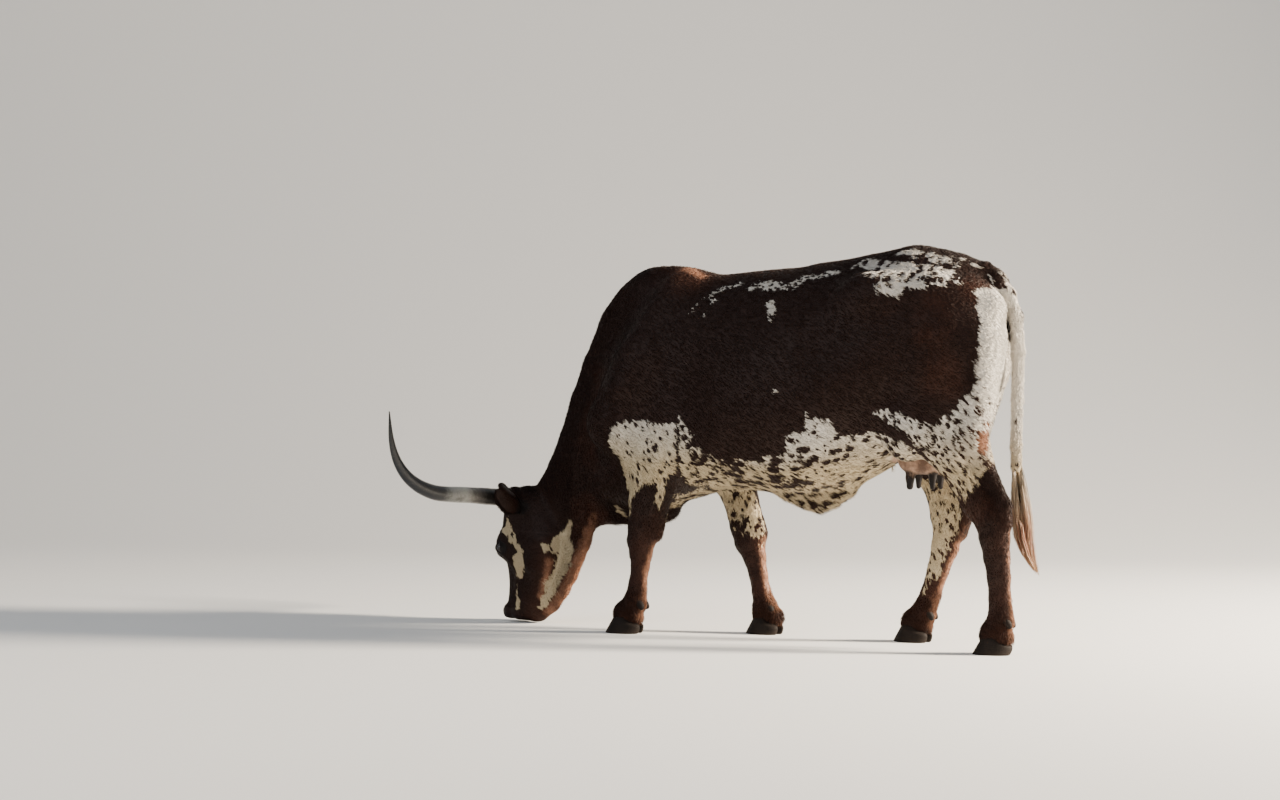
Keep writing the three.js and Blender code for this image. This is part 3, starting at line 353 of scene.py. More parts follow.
def body(p):
    d = blend_min(trunk(p), neck(p), 90)
    d = blend_min(d, head(p), 34)
    for chains in LEGS.values():
        for i, chain in enumerate(chains):
            d = blend_min(d, limb(p, *chain), 46 if i < 2 else 22)
    # udder
    d = grown(p, [(ball, 18, 510, 0, 692, 104, 98, 88), (ball, 36, 590, 0, 760, 60, 72, 90)], d)
    d = grown(both(p), [(ball, 20, 470, 38, 655, 56, 42, 48), (ball, 20, 540, 38, 650, 52, 42, 44)], d)
    d = blend_min(d, dock(p), 16)
    # teats: (x, y, how stout)
    for x, y, stout in ((463, -46, 1.22), (463, 46, 1), (545, -42, 1), (545, 42, 1)):
        top = x + (3 if x < 500 else -2)
        stops = [(top, y * 0.95, 640, 17), (x, y * 1.05, 595, 13.5), (x, y * 1.06, 562, 10.8)]
        d = blend_min(d, limb(p, *[(*place, r * stout, r * stout) for *place, r in stops]), 9)
    # coronets
    for x, y, _ in HOOVES.values():
        d = blend_min(d, limb(p, (x + 10, y, 70, 52, 40), (x + 30, y, 62, 44, 40)), 16)
    return d


# Skin: the flesh nodes joined into one closed surface, drawn onto the smooth body. The skin lies the
# coat's depth inside that body, and nothing soft comes lower than the least height.
SKIN_PITCH = 0.0105
COAT_DEPTH, LEAST_HEIGHT = 1.5, 1
FLESH = ["torso", "neck", "head", "udder", "tail_dock"]
FLESH += ["teat_fore_left", "teat_fore_right", "teat_rear_left", "teat_rear_right"]
for leg in LEGS:
    FLESH += [f"leg_{leg}_upper", f"leg_{leg}_lower"]


def meshed(name, bm):
    mesh = bpy.data.meshes.new(name)
    bm.to_mesh(mesh)
    bm.free()
    return mesh


def linked(name, mesh):
    obj = bpy.data.objects.new(name, mesh)
    bpy.context.scene.collection.objects.link(obj)
    return obj


def finished(obj):
    """The object with its modifiers made part of its mesh."""
    depsgraph = bpy.context.evaluated_depsgraph_get()
    mesh = bpy.data.meshes.new_from_object(obj.evaluated_get(depsgraph), depsgraph=depsgraph)
    obj.modifiers.clear()
    obj.data = mesh
    return obj


def places(mesh):
    co = np.empty(len(mesh.vertices) * 3)
    mesh.vertices.foreach_get("co", co)
    return co.reshape(-1, 3)


def put(mesh, points):
    mesh.vertices.foreach_set("co", np.asarray(points, float).ravel())
    mesh.update()


def normals(mesh):
    n = np.empty(len(mesh.vertices) * 3)
    mesh.vertices.foreach_get("normal", n)
    return n.reshape(-1, 3)


def joined_skin():
    bm = bmesh.new()
    for name in FLESH:
        bm.from_mesh(nodes[name].data)
    bmesh.ops.remove_doubles(bm, verts=bm.verts, dist=1e-6)
    mesh = meshed("skin", bm)
    obj = linked("skin", mesh)
    remesh = obj.modifiers.new("even", "REMESH")
    remesh.mode = "VOXEL"
    remesh.voxel_size = SKIN_PITCH
    return finished(obj)


def refined(obj, wanted):
    """Splits the faces whose middle passes the test into four."""
    bm = bmesh.new()
    bm.from_mesh(obj.data)
    middles = to_cow([f.calc_center_median() for f in bm.faces])
    keep = wanted(middles)
    edges = {e for f, k in zip(bm.faces, keep) if k for e in f.edges}
    bmesh.ops.subdivide_edges(bm, edges=list(edges), cuts=1, use_grid_fill=True)
    bm.to_mesh(obj.data)
    bm.free()


def settle(obj, steps, reach=8):
    for _ in range(steps):
        p = to_cow(places(obj.data))
        d = np.clip(body(p), -reach, reach)
        put(obj.data, to_row(p - normals(obj.data) * d[:, None]))


def near_head(p):
    h = in_head(p)
    return (h[:, 2] > -60) & (h[:, 2] < 540) & (h[:, 0] > -300) & (np.abs(h[:, 1]) < 170)


def near_features(p):
    h = both(in_head(p))
    eye = np.linalg.norm(h - (8, 103, 224), axis=1) < 50
    muzzle = (h[:, 2] > 385) & (h[:, 0] > -140)
    return eye | muzzle


def line_gap(p, chain, flat=None):
    """Distance to a chain of points, less the chain's own radius; "flat" leaves one axis out."""
    if flat is not None:
        keep = np.arange(3) != flat
        p = p[:, keep]
    best = np.full(len(p), 1e9)
    stops = [np.array(stop, float) for stop in chain]
    pairs = list(zip(stops, stops[1:])) or [(stops[0], stops[0])]
    for a, b in pairs:
        start, end = (a[:3], b[:3]) if flat is None else (a[:3][keep], b[:3][keep])
        way = end - start
        t = np.clip((p - start) @ way / max(way @ way, 1e-9), 0, 1)
        gap = np.linalg.norm(p - start - t[:, None] * way, axis=1)
        if len(a) > 3:
            gap = gap - a[3] - t * (b[3] - a[3])
        best = np.minimum(best, gap)
    return best


def bump(gap, width):
    return np.exp(-(gap / width) ** 2)


# Ridges (+) and creases (-) of the body: height, width, chain; the near one of both sides counts
FOLDS = [
    (-6, 8, [(-408, 235, 770), (-400, 235, 690), (-412, 225, 600), (-436, 205, 540)]),
    (5, 22, [(-440, 200, 700), (-452, 190, 560)]),
    (-4, 16, [(-590, 190, 1010), (-560, 215, 860), (-545, 225, 740)]),
    (-3, 12, [(-470, 200, 1120), (-400, 230, 960), (-380, 240, 800)]),
    (5, 14, [(-360, 170, 585), (-150, 190, 560), (40, 180, 545), (230, 190, 600), (360, 150, 650)]),
    (-5, 15, [(715, 150, 1130), (735, 160, 980), (722, 168, 850), (690, 175, 770)]),
    (-4, 16, [(590, 230, 1120), (600, 235, 960), (560, 230, 820)]),
    (6, 20, [(400, 228, 850), (470, 222, 780), (520, 215, 730)]),
    (-4, 12, [(330, 240, 900), (395, 232, 790), (440, 226, 730)]),
    (3, 9, [(-700, 110, 1080), (-800, 90, 860), (-880, 90, 660), (-930, 90, 540)]),
    (-4, 10, [(-690, 120, 900), (-780, 110, 740), (-840, 105, 600)]),
    (-3, 7, [(-905, 60, 640), (-850, 105, 560), (-800, 90, 480)]),
    (-3, 7, [(-950, 60, 560), (-890, 105, 490), (-835, 80, 430)]),
    (-3, 8, [(-860, 60, 760), (-800, 110, 650), (-740, 100, 540)]),
    (-4, 8, [(-730, 60, 600), (-690, 90, 520), (-640, 60, 470)]),
    (-4, 8, [(-660, 80, 640), (-630, 100, 540), (-590, 70, 480)]),
]
for i in range(9):
    top = -250 + 56 * i
    FOLDS.append((1.8, 13, [(top, 230, 1190), (top + 34, 300, 1000), (top + 72, 310, 800)]))
# Tendon grooves of the four cannons, and the cap of each knee
for bones in (
    [(-548, 140, 300), (-553, 140, 190), (-562, 140, 130)],
    [(-184, 122, 295), (-160, 120, 175), (-148, 120, 120)],
    [(834, 150, 350), (842, 150, 240), (842, 150, 150)],
    [(545, 140, 300), (503, 140, 200), (470, 140, 130)],
):
    FOLDS.append((-4, 7, [(x + 2, y + 40, z) for x, y, z in bones]))
    FOLDS.append((-4, 7, [(x + 2, y - 40, z) for x, y, z in bones]))
FOLDS += [(4, 20, [(-578, 143, 345)]), (4, 20, [(-256, 126, 330)]), (-3, 10, [(-575, 143, 308)]),
          (-3, 10, [(-240, 124, 292)])]

# The same for the head, in its own frame with "left" counted from the middle
FACE_FOLDS = [
    (3.5, 9, [(-22, 88, 276), (-26, 78, 310), (-30, 66, 360)]),
    (-3, 8, [(-48, 96, 280), (-56, 84, 330), (-62, 66, 385)]),
    (3, 10, [(36, 66, 200), (44, 50, 265), (36, 34, 340)]),
    (-2.5, 6, [(40, 88, 196), (30, 104, 178), (10, 112, 170)]),
    (-2, 5, [(48, 82, 184), (36, 98, 164), (12, 106, 154)]),
    (-2.5, 6, [(-24, 104, 208), (-30, 102, 232), (-24, 98, 254)]),
    (-2, 5, [(-36, 100, 202), (-42, 98, 234), (-34, 94, 264)]),
    (-3, 8, [(-110, 84, 150), (-150, 82, 200), (-190, 70, 270)]),
    (5, 20, [(-190, 55, 170), (-205, 48, 240), (-180, 44, 310)]),
    (-4, 9, [(-225, 34, 120), (-232, 36, 220), (-206, 34, 310), (-168, 30, 380)]),
    (-2, 5, [(-30, 54, 410), (-52, 52, 430), (-80, 44, 436)]),
    (2.5, 6, [(-20, 52, 440), (-44, 50, 470)]),
    (5, 12, [(8, 92, 20), (-16, 98, 52), (-46, 92, 46)]),
    (4, 14, [(30, 0, -20), (10, 24, -30)]),
]
MOUTH = [(-52 - 12 * math.sin(a) ** 2, 70 * math.sin(a), 396 + 112 * max(math.cos(a), 0) ** 0.8)
         for a in np.linspace(0, math.pi / 2, 9)]
EYE = np.array([10.0, 103.0, 220.0])
EYE_RADIUS = 20
TILT = math.radians(16)
long_way = np.array([-math.sin(TILT), 0, math.cos(TILT)])
short_way = np.array([math.cos(TILT), 0, math.sin(TILT)])
EYE_LONG, EYE_SHORT = 23, 12
LID_RADIUS, LID_REACH = 24.2, 42


def carve_body(p):
    q = both(p)
    lift = np.zeros(len(p))
    for height, width, chain in FOLDS:
        lift += height * bump(line_gap(q, chain), width)
    return lift


def carve_head(p):
    """How far each point of the head moves along its normal, for folds, mouth and nostrils."""
    h = both(in_head(p))
    lift = np.zeros(len(p))
    for height, width, chain in FACE_FOLDS:
        lift += height * bump(line_gap(h, chain), width)
    lift -= 6 * bump(line_gap(h, MOUTH), 3.6)
    lift += 2.5 * bump(line_gap(h + (7, 0, 0), MOUTH), 7)
    slit = [(17, 45, 478), (26, 45, 466), (27, 38, 455), (20, 34, 449)]
    lift += 4.5 * bump(line_gap(h, slit) - 10, 4)
    lift -= 15 * bump(line_gap(h, slit), 6.5)
    return lift


def lid_push(h):
    """Height of the lids over the eye's middle, at points of the head with "left" from the middle."""
    away = h - EYE
    u, w = away @ long_way / EYE_LONG, away @ short_way / EYE_SHORT
    spread = np.abs(w) + u * u
    flat = away[:, 0] ** 2 + away[:, 2] ** 2
    under = np.sqrt(np.maximum(EYE_RADIUS ** 2 - flat, 0)) - 7
    over = np.sqrt(np.maximum(LID_RADIUS ** 2 - flat, 0)) - 1.5 * np.exp(-((spread - 2.1) / 0.25) ** 2)
    fade = np.clip((2.9 - spread) / 1.6, 0, 1) ** 1.5
    inside = (spread < 1) & (np.abs(away[:, 1]) < 32)
    near = (flat < LID_REACH ** 2) & (away[:, 1] > -25)
    out = np.where(near, np.maximum(away[:, 1], over * fade + away[:, 1] * (1 - fade)), away[:, 1])
    return np.where(inside & near, under, out) - away[:, 1]


skin = joined_skin()
settle(skin, 3)
refined(skin, near_head)
settle(skin, 2)
refined(skin, near_features)
settle(skin, 2, 4)
base_place = places(skin.data)
base = to_cow(base_place)
lift = carve_body(base) - COAT_DEPTH + np.where(near_head(base), carve_head(base), 0)
put(skin.data, to_row(base + normals(skin.data) * lift[:, None]))
carved = to_cow(places(skin.data))
faced = in_head(carved)
side = np.sign(faced[:, 1])
faced[:, 1] += side * np.where(near_features(carved), lid_push(both(faced)), 0)
worn = POLL + faced @ HEAD
worn[:, 2] = np.maximum(worn[:, 2], LEAST_HEIGHT)
put(skin.data, to_row(worn))
for polygon in skin.data.polygons:
    polygon.use_smooth = True
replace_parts(skin, *FLESH)
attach(skin, "root")

# Coat plan: outlines of the white parts on the cow's side, as (x, z), in the brown
FLANK = [
    (386, 818), (435, 837), (489, 823), (560, 798), (619, 780), (640, 812), (672, 841), (696, 869),
    (726, 897), (738, 938), (734, 1000), (738, 1060), (742, 1112), (735, 1172), (722, 1213),
    (712, 1240), (735, 1262), (790, 1262), (880, 1230), (880, 700), (805, 668), (773, 632),
    (744, 580), (713, 524), (676, 530), (640, 590), (603, 636), (573, 668), (545, 712), (496, 752),
    (462, 783),
]
BELLY = [
    (-352, 800), (-334, 778), (-299, 738), (-260, 698), (-215, 664), (-188, 645), (-140, 630),
    (-109, 648), (-30, 656), (46, 667), (81, 678), (94, 738), (130, 748), (158, 722), (164, 770),
    (172, 812), (193, 800), (244, 797), (264, 755), (252, 722), (295, 738), (354, 753), (418, 747),
    (481, 724), (509, 711), (542, 688), (573, 661), (600, 628), (600, 560), (520, 540), (300, 380),
    (-100, 380), (-352, 380),
]
SHOULDER = [
    (-622, 752), (-604, 768), (-560, 772), (-507, 780), (-430, 770), (-362, 778), (-352, 740),
    (-356, 690), (-372, 622), (-405, 567), (-432, 493), (-444, 455), (-448, 500), (-454, 545),
    (-486, 562), (-520, 528), (-548, 492), (-566, 430), (-574, 410), (-584, 440), (-592, 500),
    (-596, 560), (-606, 610), (-626, 668), (-632, 710),
]
# Each patch: share of large spots, share of ticks, how far it moves on the right side, its outline
OUTLINES = [
    (0.12, 0.95, -60, FLANK),
    (0.9, 0.5, 35, BELLY),
    (0.12, 0.62, 90, SHOULDER),
]
# Smaller patches as chains of (x, y, z, radius), y from the middle, with their shares of spots and
# ticks and their move on the right side (None: on the left side only)
PATCHES = [
    (0.3, 1.0, 90, [(-337, 169, 1175, 3), (-312, 145, 1220, 5), (-261, 128, 1249, 8),
                    (-178, 112, 1278, 8)]),
    (0.3, 1.0, None, [(-283, 184, 1164, 3), (-257, 153, 1219, 6)]),
    (0.3, 1.0, 120, [(-120, 139, 1262, 14), (-85, 129, 1277, 22), (-23, 142, 1272, 27),
                     (37, 156, 1263, 21),
                     (67, 126, 1293, 21), (121, 118, 1304, 18), (182, 112, 1314, 18)]),
    (0.1, 0.4, None, [(-17, 199, 1205, 12), (-6, 217, 1179, 14), (-2, 236, 1146, 4)]),
    (0.0, 0.0, -60, [(49, 314, 891, 5)]),
    (1.15, 0.12, 30, [(345, 190, 1302, 24), (400, 204, 1286, 34), (470, 205, 1272, 34),
                      (540, 190, 1280, 26),
                     (612, 168, 1284, 20)]),
    (1.15, 0.12, 30, [(266, 96, 1339, 14), (307, 86, 1353, 28), (391, 143, 1328, 46),
                      (471, 163, 1311, 50),
                     (537, 143, 1319, 44), (606, 132, 1308, 34), (655, 136, 1287, 18)]),
    (1.0, 0.12, None, [(411, 230, 1263, 30), (453, 224, 1249, 24)]),
    (0.7, 0.5, 30, [(396, 70, 1392, 8), (460, 76, 1386, 22), (520, 80, 1380, 24), (580, 84, 1366, 22),
                    (625, 90, 1348, 14)]),
    (0.4, 0.95, 0, [(442, 79, 1380, 6), (512, 60, 1383, 9), (572, 64, 1372, 7), (642, 40, 1358, 6),
                    (698, 35, 1330, 7), (744, 28, 1292, 8)]),
    (0.9, 0.6, 60, [(-330, 40, 470, 84), (-150, 40, 470, 110), (0, 40, 480, 120), (300, 40, 570, 120),
                    (430, 60, 650, 90)]),
    (1.0, 0.9, None, [(-430, 120, 430, 26), (-420, 60, 470, 50), (-360, 30, 500, 60)]),
    (0.1, 0.5, None, [(-679, 56, 457, 13), (-666, 30, 426, 13)]),
]
FAR_LEGS = [
    (0.9, 0.3, [(-300, 150, 560, 60), (-284, 110, 520, 50), (-240, 125, 450, 58), (-204, 125, 385, 52),
                (-176, 124, 330, 22)]),
    (0.2, 0.78, [(470, 150, 660, 70), (515, 130, 560, 60), (545, 130, 450, 62), (520, 128, 340, 42),
                  (494, 128, 250, 32), (474, 130, 180, 14)]),
]
FACE = [
    [(-7, 94, 113, 12), (-8, 96, 152, 17), (-48, 96, 192, 13), (-67, 94, 216, 20), (-73, 88, 254, 28),
     (-64, 77, 296, 20), (-55, 67, 328, 8)],
    [(-40, 58, 352, 3), (-44, 59, 409, 3), (-55, 59, 447, 13)],
    [(-275, 26, 101, 10), (-246, 19, 142, 22), (-219, 42, 190, 30), (-257, 26, 205, 34),
     (-243, 24, 252, 30),
     (-218, 27, 304, 25), (-188, 25, 357, 23), (-165, 24, 405, 17), (-138, 28, 434, 9)],
    [(-194, 71, 195, 17)],
]
# Tan parts as chains (x, y, z, radius), y from the middle: the thigh, the tail head, the hump's rear and
# the backs of the legs; partly the coat's own tan, partly painted sunlight from a low sun behind on the
# right
TAN_AND_SUNLIT = [
    [(790, 180, 800, 14), (784, 183, 760, 26), (772, 183, 715, 24)],
    [(742, 140, 1286, 8), (772, 128, 1272, 18), (800, 112, 1250, 16)],
    [(-410, 35, 1336, 26), (-353, 60, 1312, 18)],
    [(-470, 140, 372, 16), (-500, 140, 271, 16), (-515, 140, 161, 16), (-538, 140, 68, 18)],
    [(-172, 124, 350, 20), (-148, 120, 236, 18), (-124, 120, 127, 18), (-108, 123, 52, 19)],
    [(600, 140, 425, 18), (572, 140, 337, 18), (538, 140, 246, 16), (500, 140, 155, 16),
     (470, 140, 64, 18)],
    [(870, 150, 420, 10), (872, 150, 326, 12), (874, 150, 223, 14), (876, 150, 122, 18),
     (858, 150, 62, 18)],
]
# Tan along the jaw's edge and the throat fold, in the head's frame: partly the fold's own tan, partly
# painted sunlight
FACE_TAN_AND_SUNLIT = [
    [(-366, 0, 62, 4), (-344, 0, 129, 14), (-324, 0, 191, 22), (-294, 0, 262, 26), (-257, 0, 330, 28),
     (-212, 0, 397, 24), (-162, 0, 452, 18)],
    [(-205, 61, 255, 9), (-176, 43, 327, 10), (-146, 34, 395, 8)],
]
# Brown islands inside the white, as chains
ISLANDS = [
    TAN_AND_SUNLIT[0],
    TAN_AND_SUNLIT[1],
    [(465, 92, 1372, 5), (520, 96, 1368, 9), (575, 98, 1356, 5)],
    [(74, 0, 500, 18), (118, 0, 492, 24), (150, 0, 500, 14)],
    [(-20, 0, 520, 10), (40, 0, 510, 16)],
]
# Parts painted a redder brown for sunlight, on the thigh, the hump's rear, the hind leg and the neck, as
# chains
SUNLIT_RED_PARTS = [
    [(560, 190, 1180, 10), (605, 195, 1060, 24), (640, 190, 930, 26)],
    [(-420, 60, 1330, 60), (-360, 70, 1310, 50)],
    [(640, 170, 640, 10), (760, 160, 480, 14)],
    [(-700, 60, 900, 40), (-760, 40, 700, 40)],
]
PLAN = ("white", "tan_and_sunlit", "sunlit_red", "spots", "ticks", "bare", "dark")


def depth(p, chains):
    """How deep each point lies in the chains, in metres: above zero inside."""
    best = np.full(len(p), -0.2)
    for chain in chains:
        best = np.maximum(best, -line_gap(p, chain) / 1000)
    return best


def outline_depth(p, outline):
    """The same for a closed outline on the side of the cow."""
    x, z = p[:, 0], p[:, 2]
    gap = np.full(len(p), 1e9)
    inside = np.zeros(len(p), bool)
    for (ax, az), (bx, bz) in zip(outline, outline[1:] + outline[:1]):
        wx, wz = bx - ax, bz - az
        t = np.clip(((x - ax) * wx + (z - az) * wz) / (wx * wx + wz * wz), 0, 1)
        gap = np.minimum(gap, np.hypot(x - ax - t * wx, z - az - t * wz))
        if az != bz:
            crosses = ((z < az) != (z < bz)) & (x < ax + (z - az) * wx / wz)
            inside ^= crosses
    return np.where(inside, gap, -gap) / 1000


def coat_plan(p):
    """The plan at points: depth in white, in tan (partly painted sunlight) and in painted sunlit
    red-brown parts, shares of spots and ticks, bare, dark (partly painted shade).
    """
    q = both(p)
    h = both(in_head(p))
    on_right = p[:, 1] > 0
    white = np.full(len(p), -0.2)
    spots = np.zeros(len(p))
    ticks = np.zeros(len(p))

    def patch(d, spot, tick):
        nonlocal white, spots, ticks
        stronger = d > white
        white = np.maximum(white, d)
        spots = np.where(stronger, spot, spots)
        ticks = np.where(stronger, tick, ticks)

    leg = (q[:, 1] > 90) & (p[:, 2] < 545)
    for index, (spot, tick, move, outline) in enumerate(OUTLINES):
        d = outline_depth(q - np.where(on_right, move, 0)[:, None] * (1, 0, 0), outline)
        if index == 0:
            tick = tick * ease(-p[:, 2], -940, -860) * ease(-p[:, 0], -810, -770)
            spot = spot * (p[:, 2] < 900)
        if index == 1:
            d = np.where(leg, -0.2, d)
            tick = np.where((p[:, 0] > -310) & (p[:, 0] < -120) & (d < 0.06), 1.35, tick)
            tick = np.where((p[:, 0] > -120) & (p[:, 0] < 150) & (p[:, 2] < 672), 0.9, tick)
            middle = ease(p[:, 0], -220, -120) * ease(-p[:, 0], -240, -60)
            spot = spot + 0.5 * middle * ease(-p[:, 2], -700, -640)
        if index == 2:
            d = np.where(q[:, 1] > 100, d, -0.2)
        patch(d, spot, tick)
    for spot, tick, move, chain in PATCHES:
        moved = q - np.where(on_right, move or 0, 0)[:, None] * (1, 0, 0)
        patch(np.where(on_right & (move is None), -0.2, depth(moved, [chain])), spot, tick)
    for spot, tick, chain in FAR_LEGS:
        patch(np.where(p[:, 1] > 15, depth(p, [chain]), -0.2), spot, tick)
    face = (h[:, 2] > -60) & (h[:, 2] < 540) & (h[:, 0] > -420) & (h[:, 1] < 170)
    patch(np.where(face, depth(h, FACE), -0.2), 0.02, 0.08)
    island = depth(q, ISLANDS)
    white = np.where(island > -0.03, np.minimum(white, -island), white)
    low_tail = depth(p, [[(826, 0, 1150, 24), (833, 0, 1046, 38), (834, 0, 600, 60)]])
    high_tail = depth(p, [[(760, 0, 1300, 26), (800, 0, 1250, 30), (822, 0, 1160, 34)]])
    patch(np.where(p[:, 0] > 740, high_tail, -0.2), 0.8, 1.0)
    patch(np.where(p[:, 0] > 790, low_tail, -0.2), 0.05, 0.25)
    bare = depth(q, [[(470, 20, 640, 84), (545, 20, 640, 82)],
                     [(448, 30, 690, 56), (530, 60, 694, 62), (590, 40, 740, 60)]])
    # near-black: the dark skin of the teats, and a dark patch at the tail's root
    dark = depth(q, [[(463, 45, 604, 24), (463, 48, 556, 26)], [(545, 42, 604, 24), (545, 44, 556, 26)],
                     [(812, 0, 1190, 20), (800, 0, 1100, 22)]])
    # near-black on the face: dark skin of the muzzle, and painted shade round the eye and at the ear's
    # root
    face_dark_and_shade = [[(24, 0, 486, 40), (20, 40, 476, 26)], [(-30, 0, 496, 38)], [(8, 108, 222, 30)],
                 [(-74, 92, 60, 30)]]
    dark = np.maximum(dark, np.where(face, depth(h, face_dark_and_shade), -0.2))
    # tan: partly its own colour, partly painted sunlight
    tan_and_sunlit = np.maximum(depth(q, TAN_AND_SUNLIT), np.where(face, depth(h, FACE_TAN_AND_SUNLIT), -0.2))
    # painted sunlight: a redder brown in its chains, reaching a little past the tan
    sunlit_red = np.maximum(depth(q, SUNLIT_RED_PARTS), tan_and_sunlit + 0.02)
    return white, tan_and_sunlit, sunlit_red, spots, ticks, bare, dark


def set_values(mesh, name, values):
    layer = mesh.attributes.new(name, "FLOAT", "POINT")
    layer.data.foreach_set("value", np.asarray(values, np.float32))


def set_vectors(mesh, name, values):
    layer = mesh.attributes.new(name, "FLOAT_VECTOR", "POINT")
    layer.data.foreach_set("vector", np.asarray(values, np.float32).ravel())


def add_plan(mesh, points):
    """Writes the coat plan at the given points of the cow's frame, one for each vertex."""
    for name, values in zip(PLAN, coat_plan(points)):
        set_values(mesh, name, values)
    set_vectors(mesh, "root", np.asarray(points) / 1000)


add_plan(skin.data, base)


# Node tools: a node with its settings and its input values or links

def node(tree, kind, inputs=None, **settings):
    made = tree.nodes.new(kind)
    for key, value in settings.items():
        setattr(made, key, value)
    for key, value in (inputs or {}).items():
        socket = made.inputs[key]
        if isinstance(value, bpy.types.NodeSocket):
            tree.links.new(value, socket)
        else:
            socket.default_value = value
    return made


def maths(tree, operation, a, b=0.0, c=0.0, clamp=False):
    made = node(tree, "ShaderNodeMath", {0: a, 1: b, 2: c}, operation=operation, use_clamp=clamp)
    return made.outputs[0]


def mixed(tree, share, a, b):
    made = tree.nodes.new("ShaderNodeMix")
    made.data_type = "RGBA"
    for index, value in ((0, share), (6, a), (7, b)):
        if isinstance(value, bpy.types.NodeSocket):
            tree.links.new(value, made.inputs[index])
        else:
            made.inputs[index].default_value = value
    return made.outputs[2]


def value_of(tree, name):
    return node(tree, "ShaderNodeAttribute", attribute_name=name).outputs["Fac"]


def vector_of(tree, name):
    return node(tree, "ShaderNodeAttribute", attribute_name=name).outputs["Vector"]


def noise(tree, vector, scale, detail=2.0, rough=0.5):
    made = node(tree, "ShaderNodeTexNoise", {"Vector": vector, "Scale": scale, "Detail": detail,
                                             "Roughness": rough})
    return made.outputs["Fac"]


def stretched(tree, vector, scale, turn=(0, 0, 0)):
    return node(tree, "ShaderNodeMapping", {"Vector": vector, "Scale": scale,
                                            "Rotation": turn}).outputs[0]


def drawn_out(tree, vector, length, turn):
    """The vector turned about Y, with patterns drawn out along its new Z."""
    made = node(tree, "ShaderNodeMapping", {"Vector": vector, "Scale": (1, 1, length),
                                            "Rotation": (0, turn, 0)},
                vector_type="TEXTURE")
    return made.outputs[0]


def step_up(tree, value, low, high):
    return node(tree, "ShaderNodeMapRange", {0: value, 1: low, 2: high}).outputs[0]


def height_of(tree, vector):
    return node(tree, "ShaderNodeSeparateXYZ", {0: vector}).outputs["Z"]


def flecks(tree, vector, scale, share, ragged):
    """Scattered flecks, of which the share says how many there are: 1 inside them."""
    cells = node(tree, "ShaderNodeTexVoronoi", {"Vector": vector, "Scale": scale})
    own = node(tree, "ShaderNodeSeparateXYZ", {0: cells.outputs["Color"]})
    reach = maths(tree, "MULTIPLY_ADD", own.outputs["X"], 0.3, 0.2)
    full = maths(tree, "MAXIMUM", maths(tree, "SUBTRACT", share, 0.9), 0.0)
    reach = maths(tree, "MULTIPLY_ADD", full, 0.3, reach)
    reach = maths(tree, "MULTIPLY_ADD", maths(tree, "SUBTRACT", ragged, 0.5), 0.5, reach)
    reach = maths(tree, "SUBTRACT", reach, maths(tree, "GREATER_THAN", own.outputs["Y"], share))
    return step_up(tree, maths(tree, "SUBTRACT", reach, cells.outputs["Distance"]), -0.02, 0.02)


def ramp_of(tree, value, stops):
    ramp = node(tree, "ShaderNodeValToRGB", {"Fac": value})
    elements = ramp.color_ramp.elements
    while len(elements) < len(stops):
        elements.new(0.5)
    for element, (at, colour) in zip(elements, stops):
        element.position = at
        element.color = (*colour, 1)
    return ramp.outputs["Color"]


def new_group(name, inputs, outputs):
    tree = bpy.data.node_groups.new(name, "ShaderNodeTree")
    for label, kind, default in inputs:
        socket = tree.interface.new_socket(label, in_out="INPUT", socket_type=kind)
        socket.default_value = default
    for label, kind in outputs:
        tree.interface.new_socket(label, in_out="OUTPUT", socket_type=kind)
    return tree, tree.nodes.new("NodeGroupInput"), tree.nodes.new("NodeGroupOutput")


COLOUR, NUMBER, VECTOR = "NodeSocketColor", "NodeSocketFloat", "NodeSocketVector"


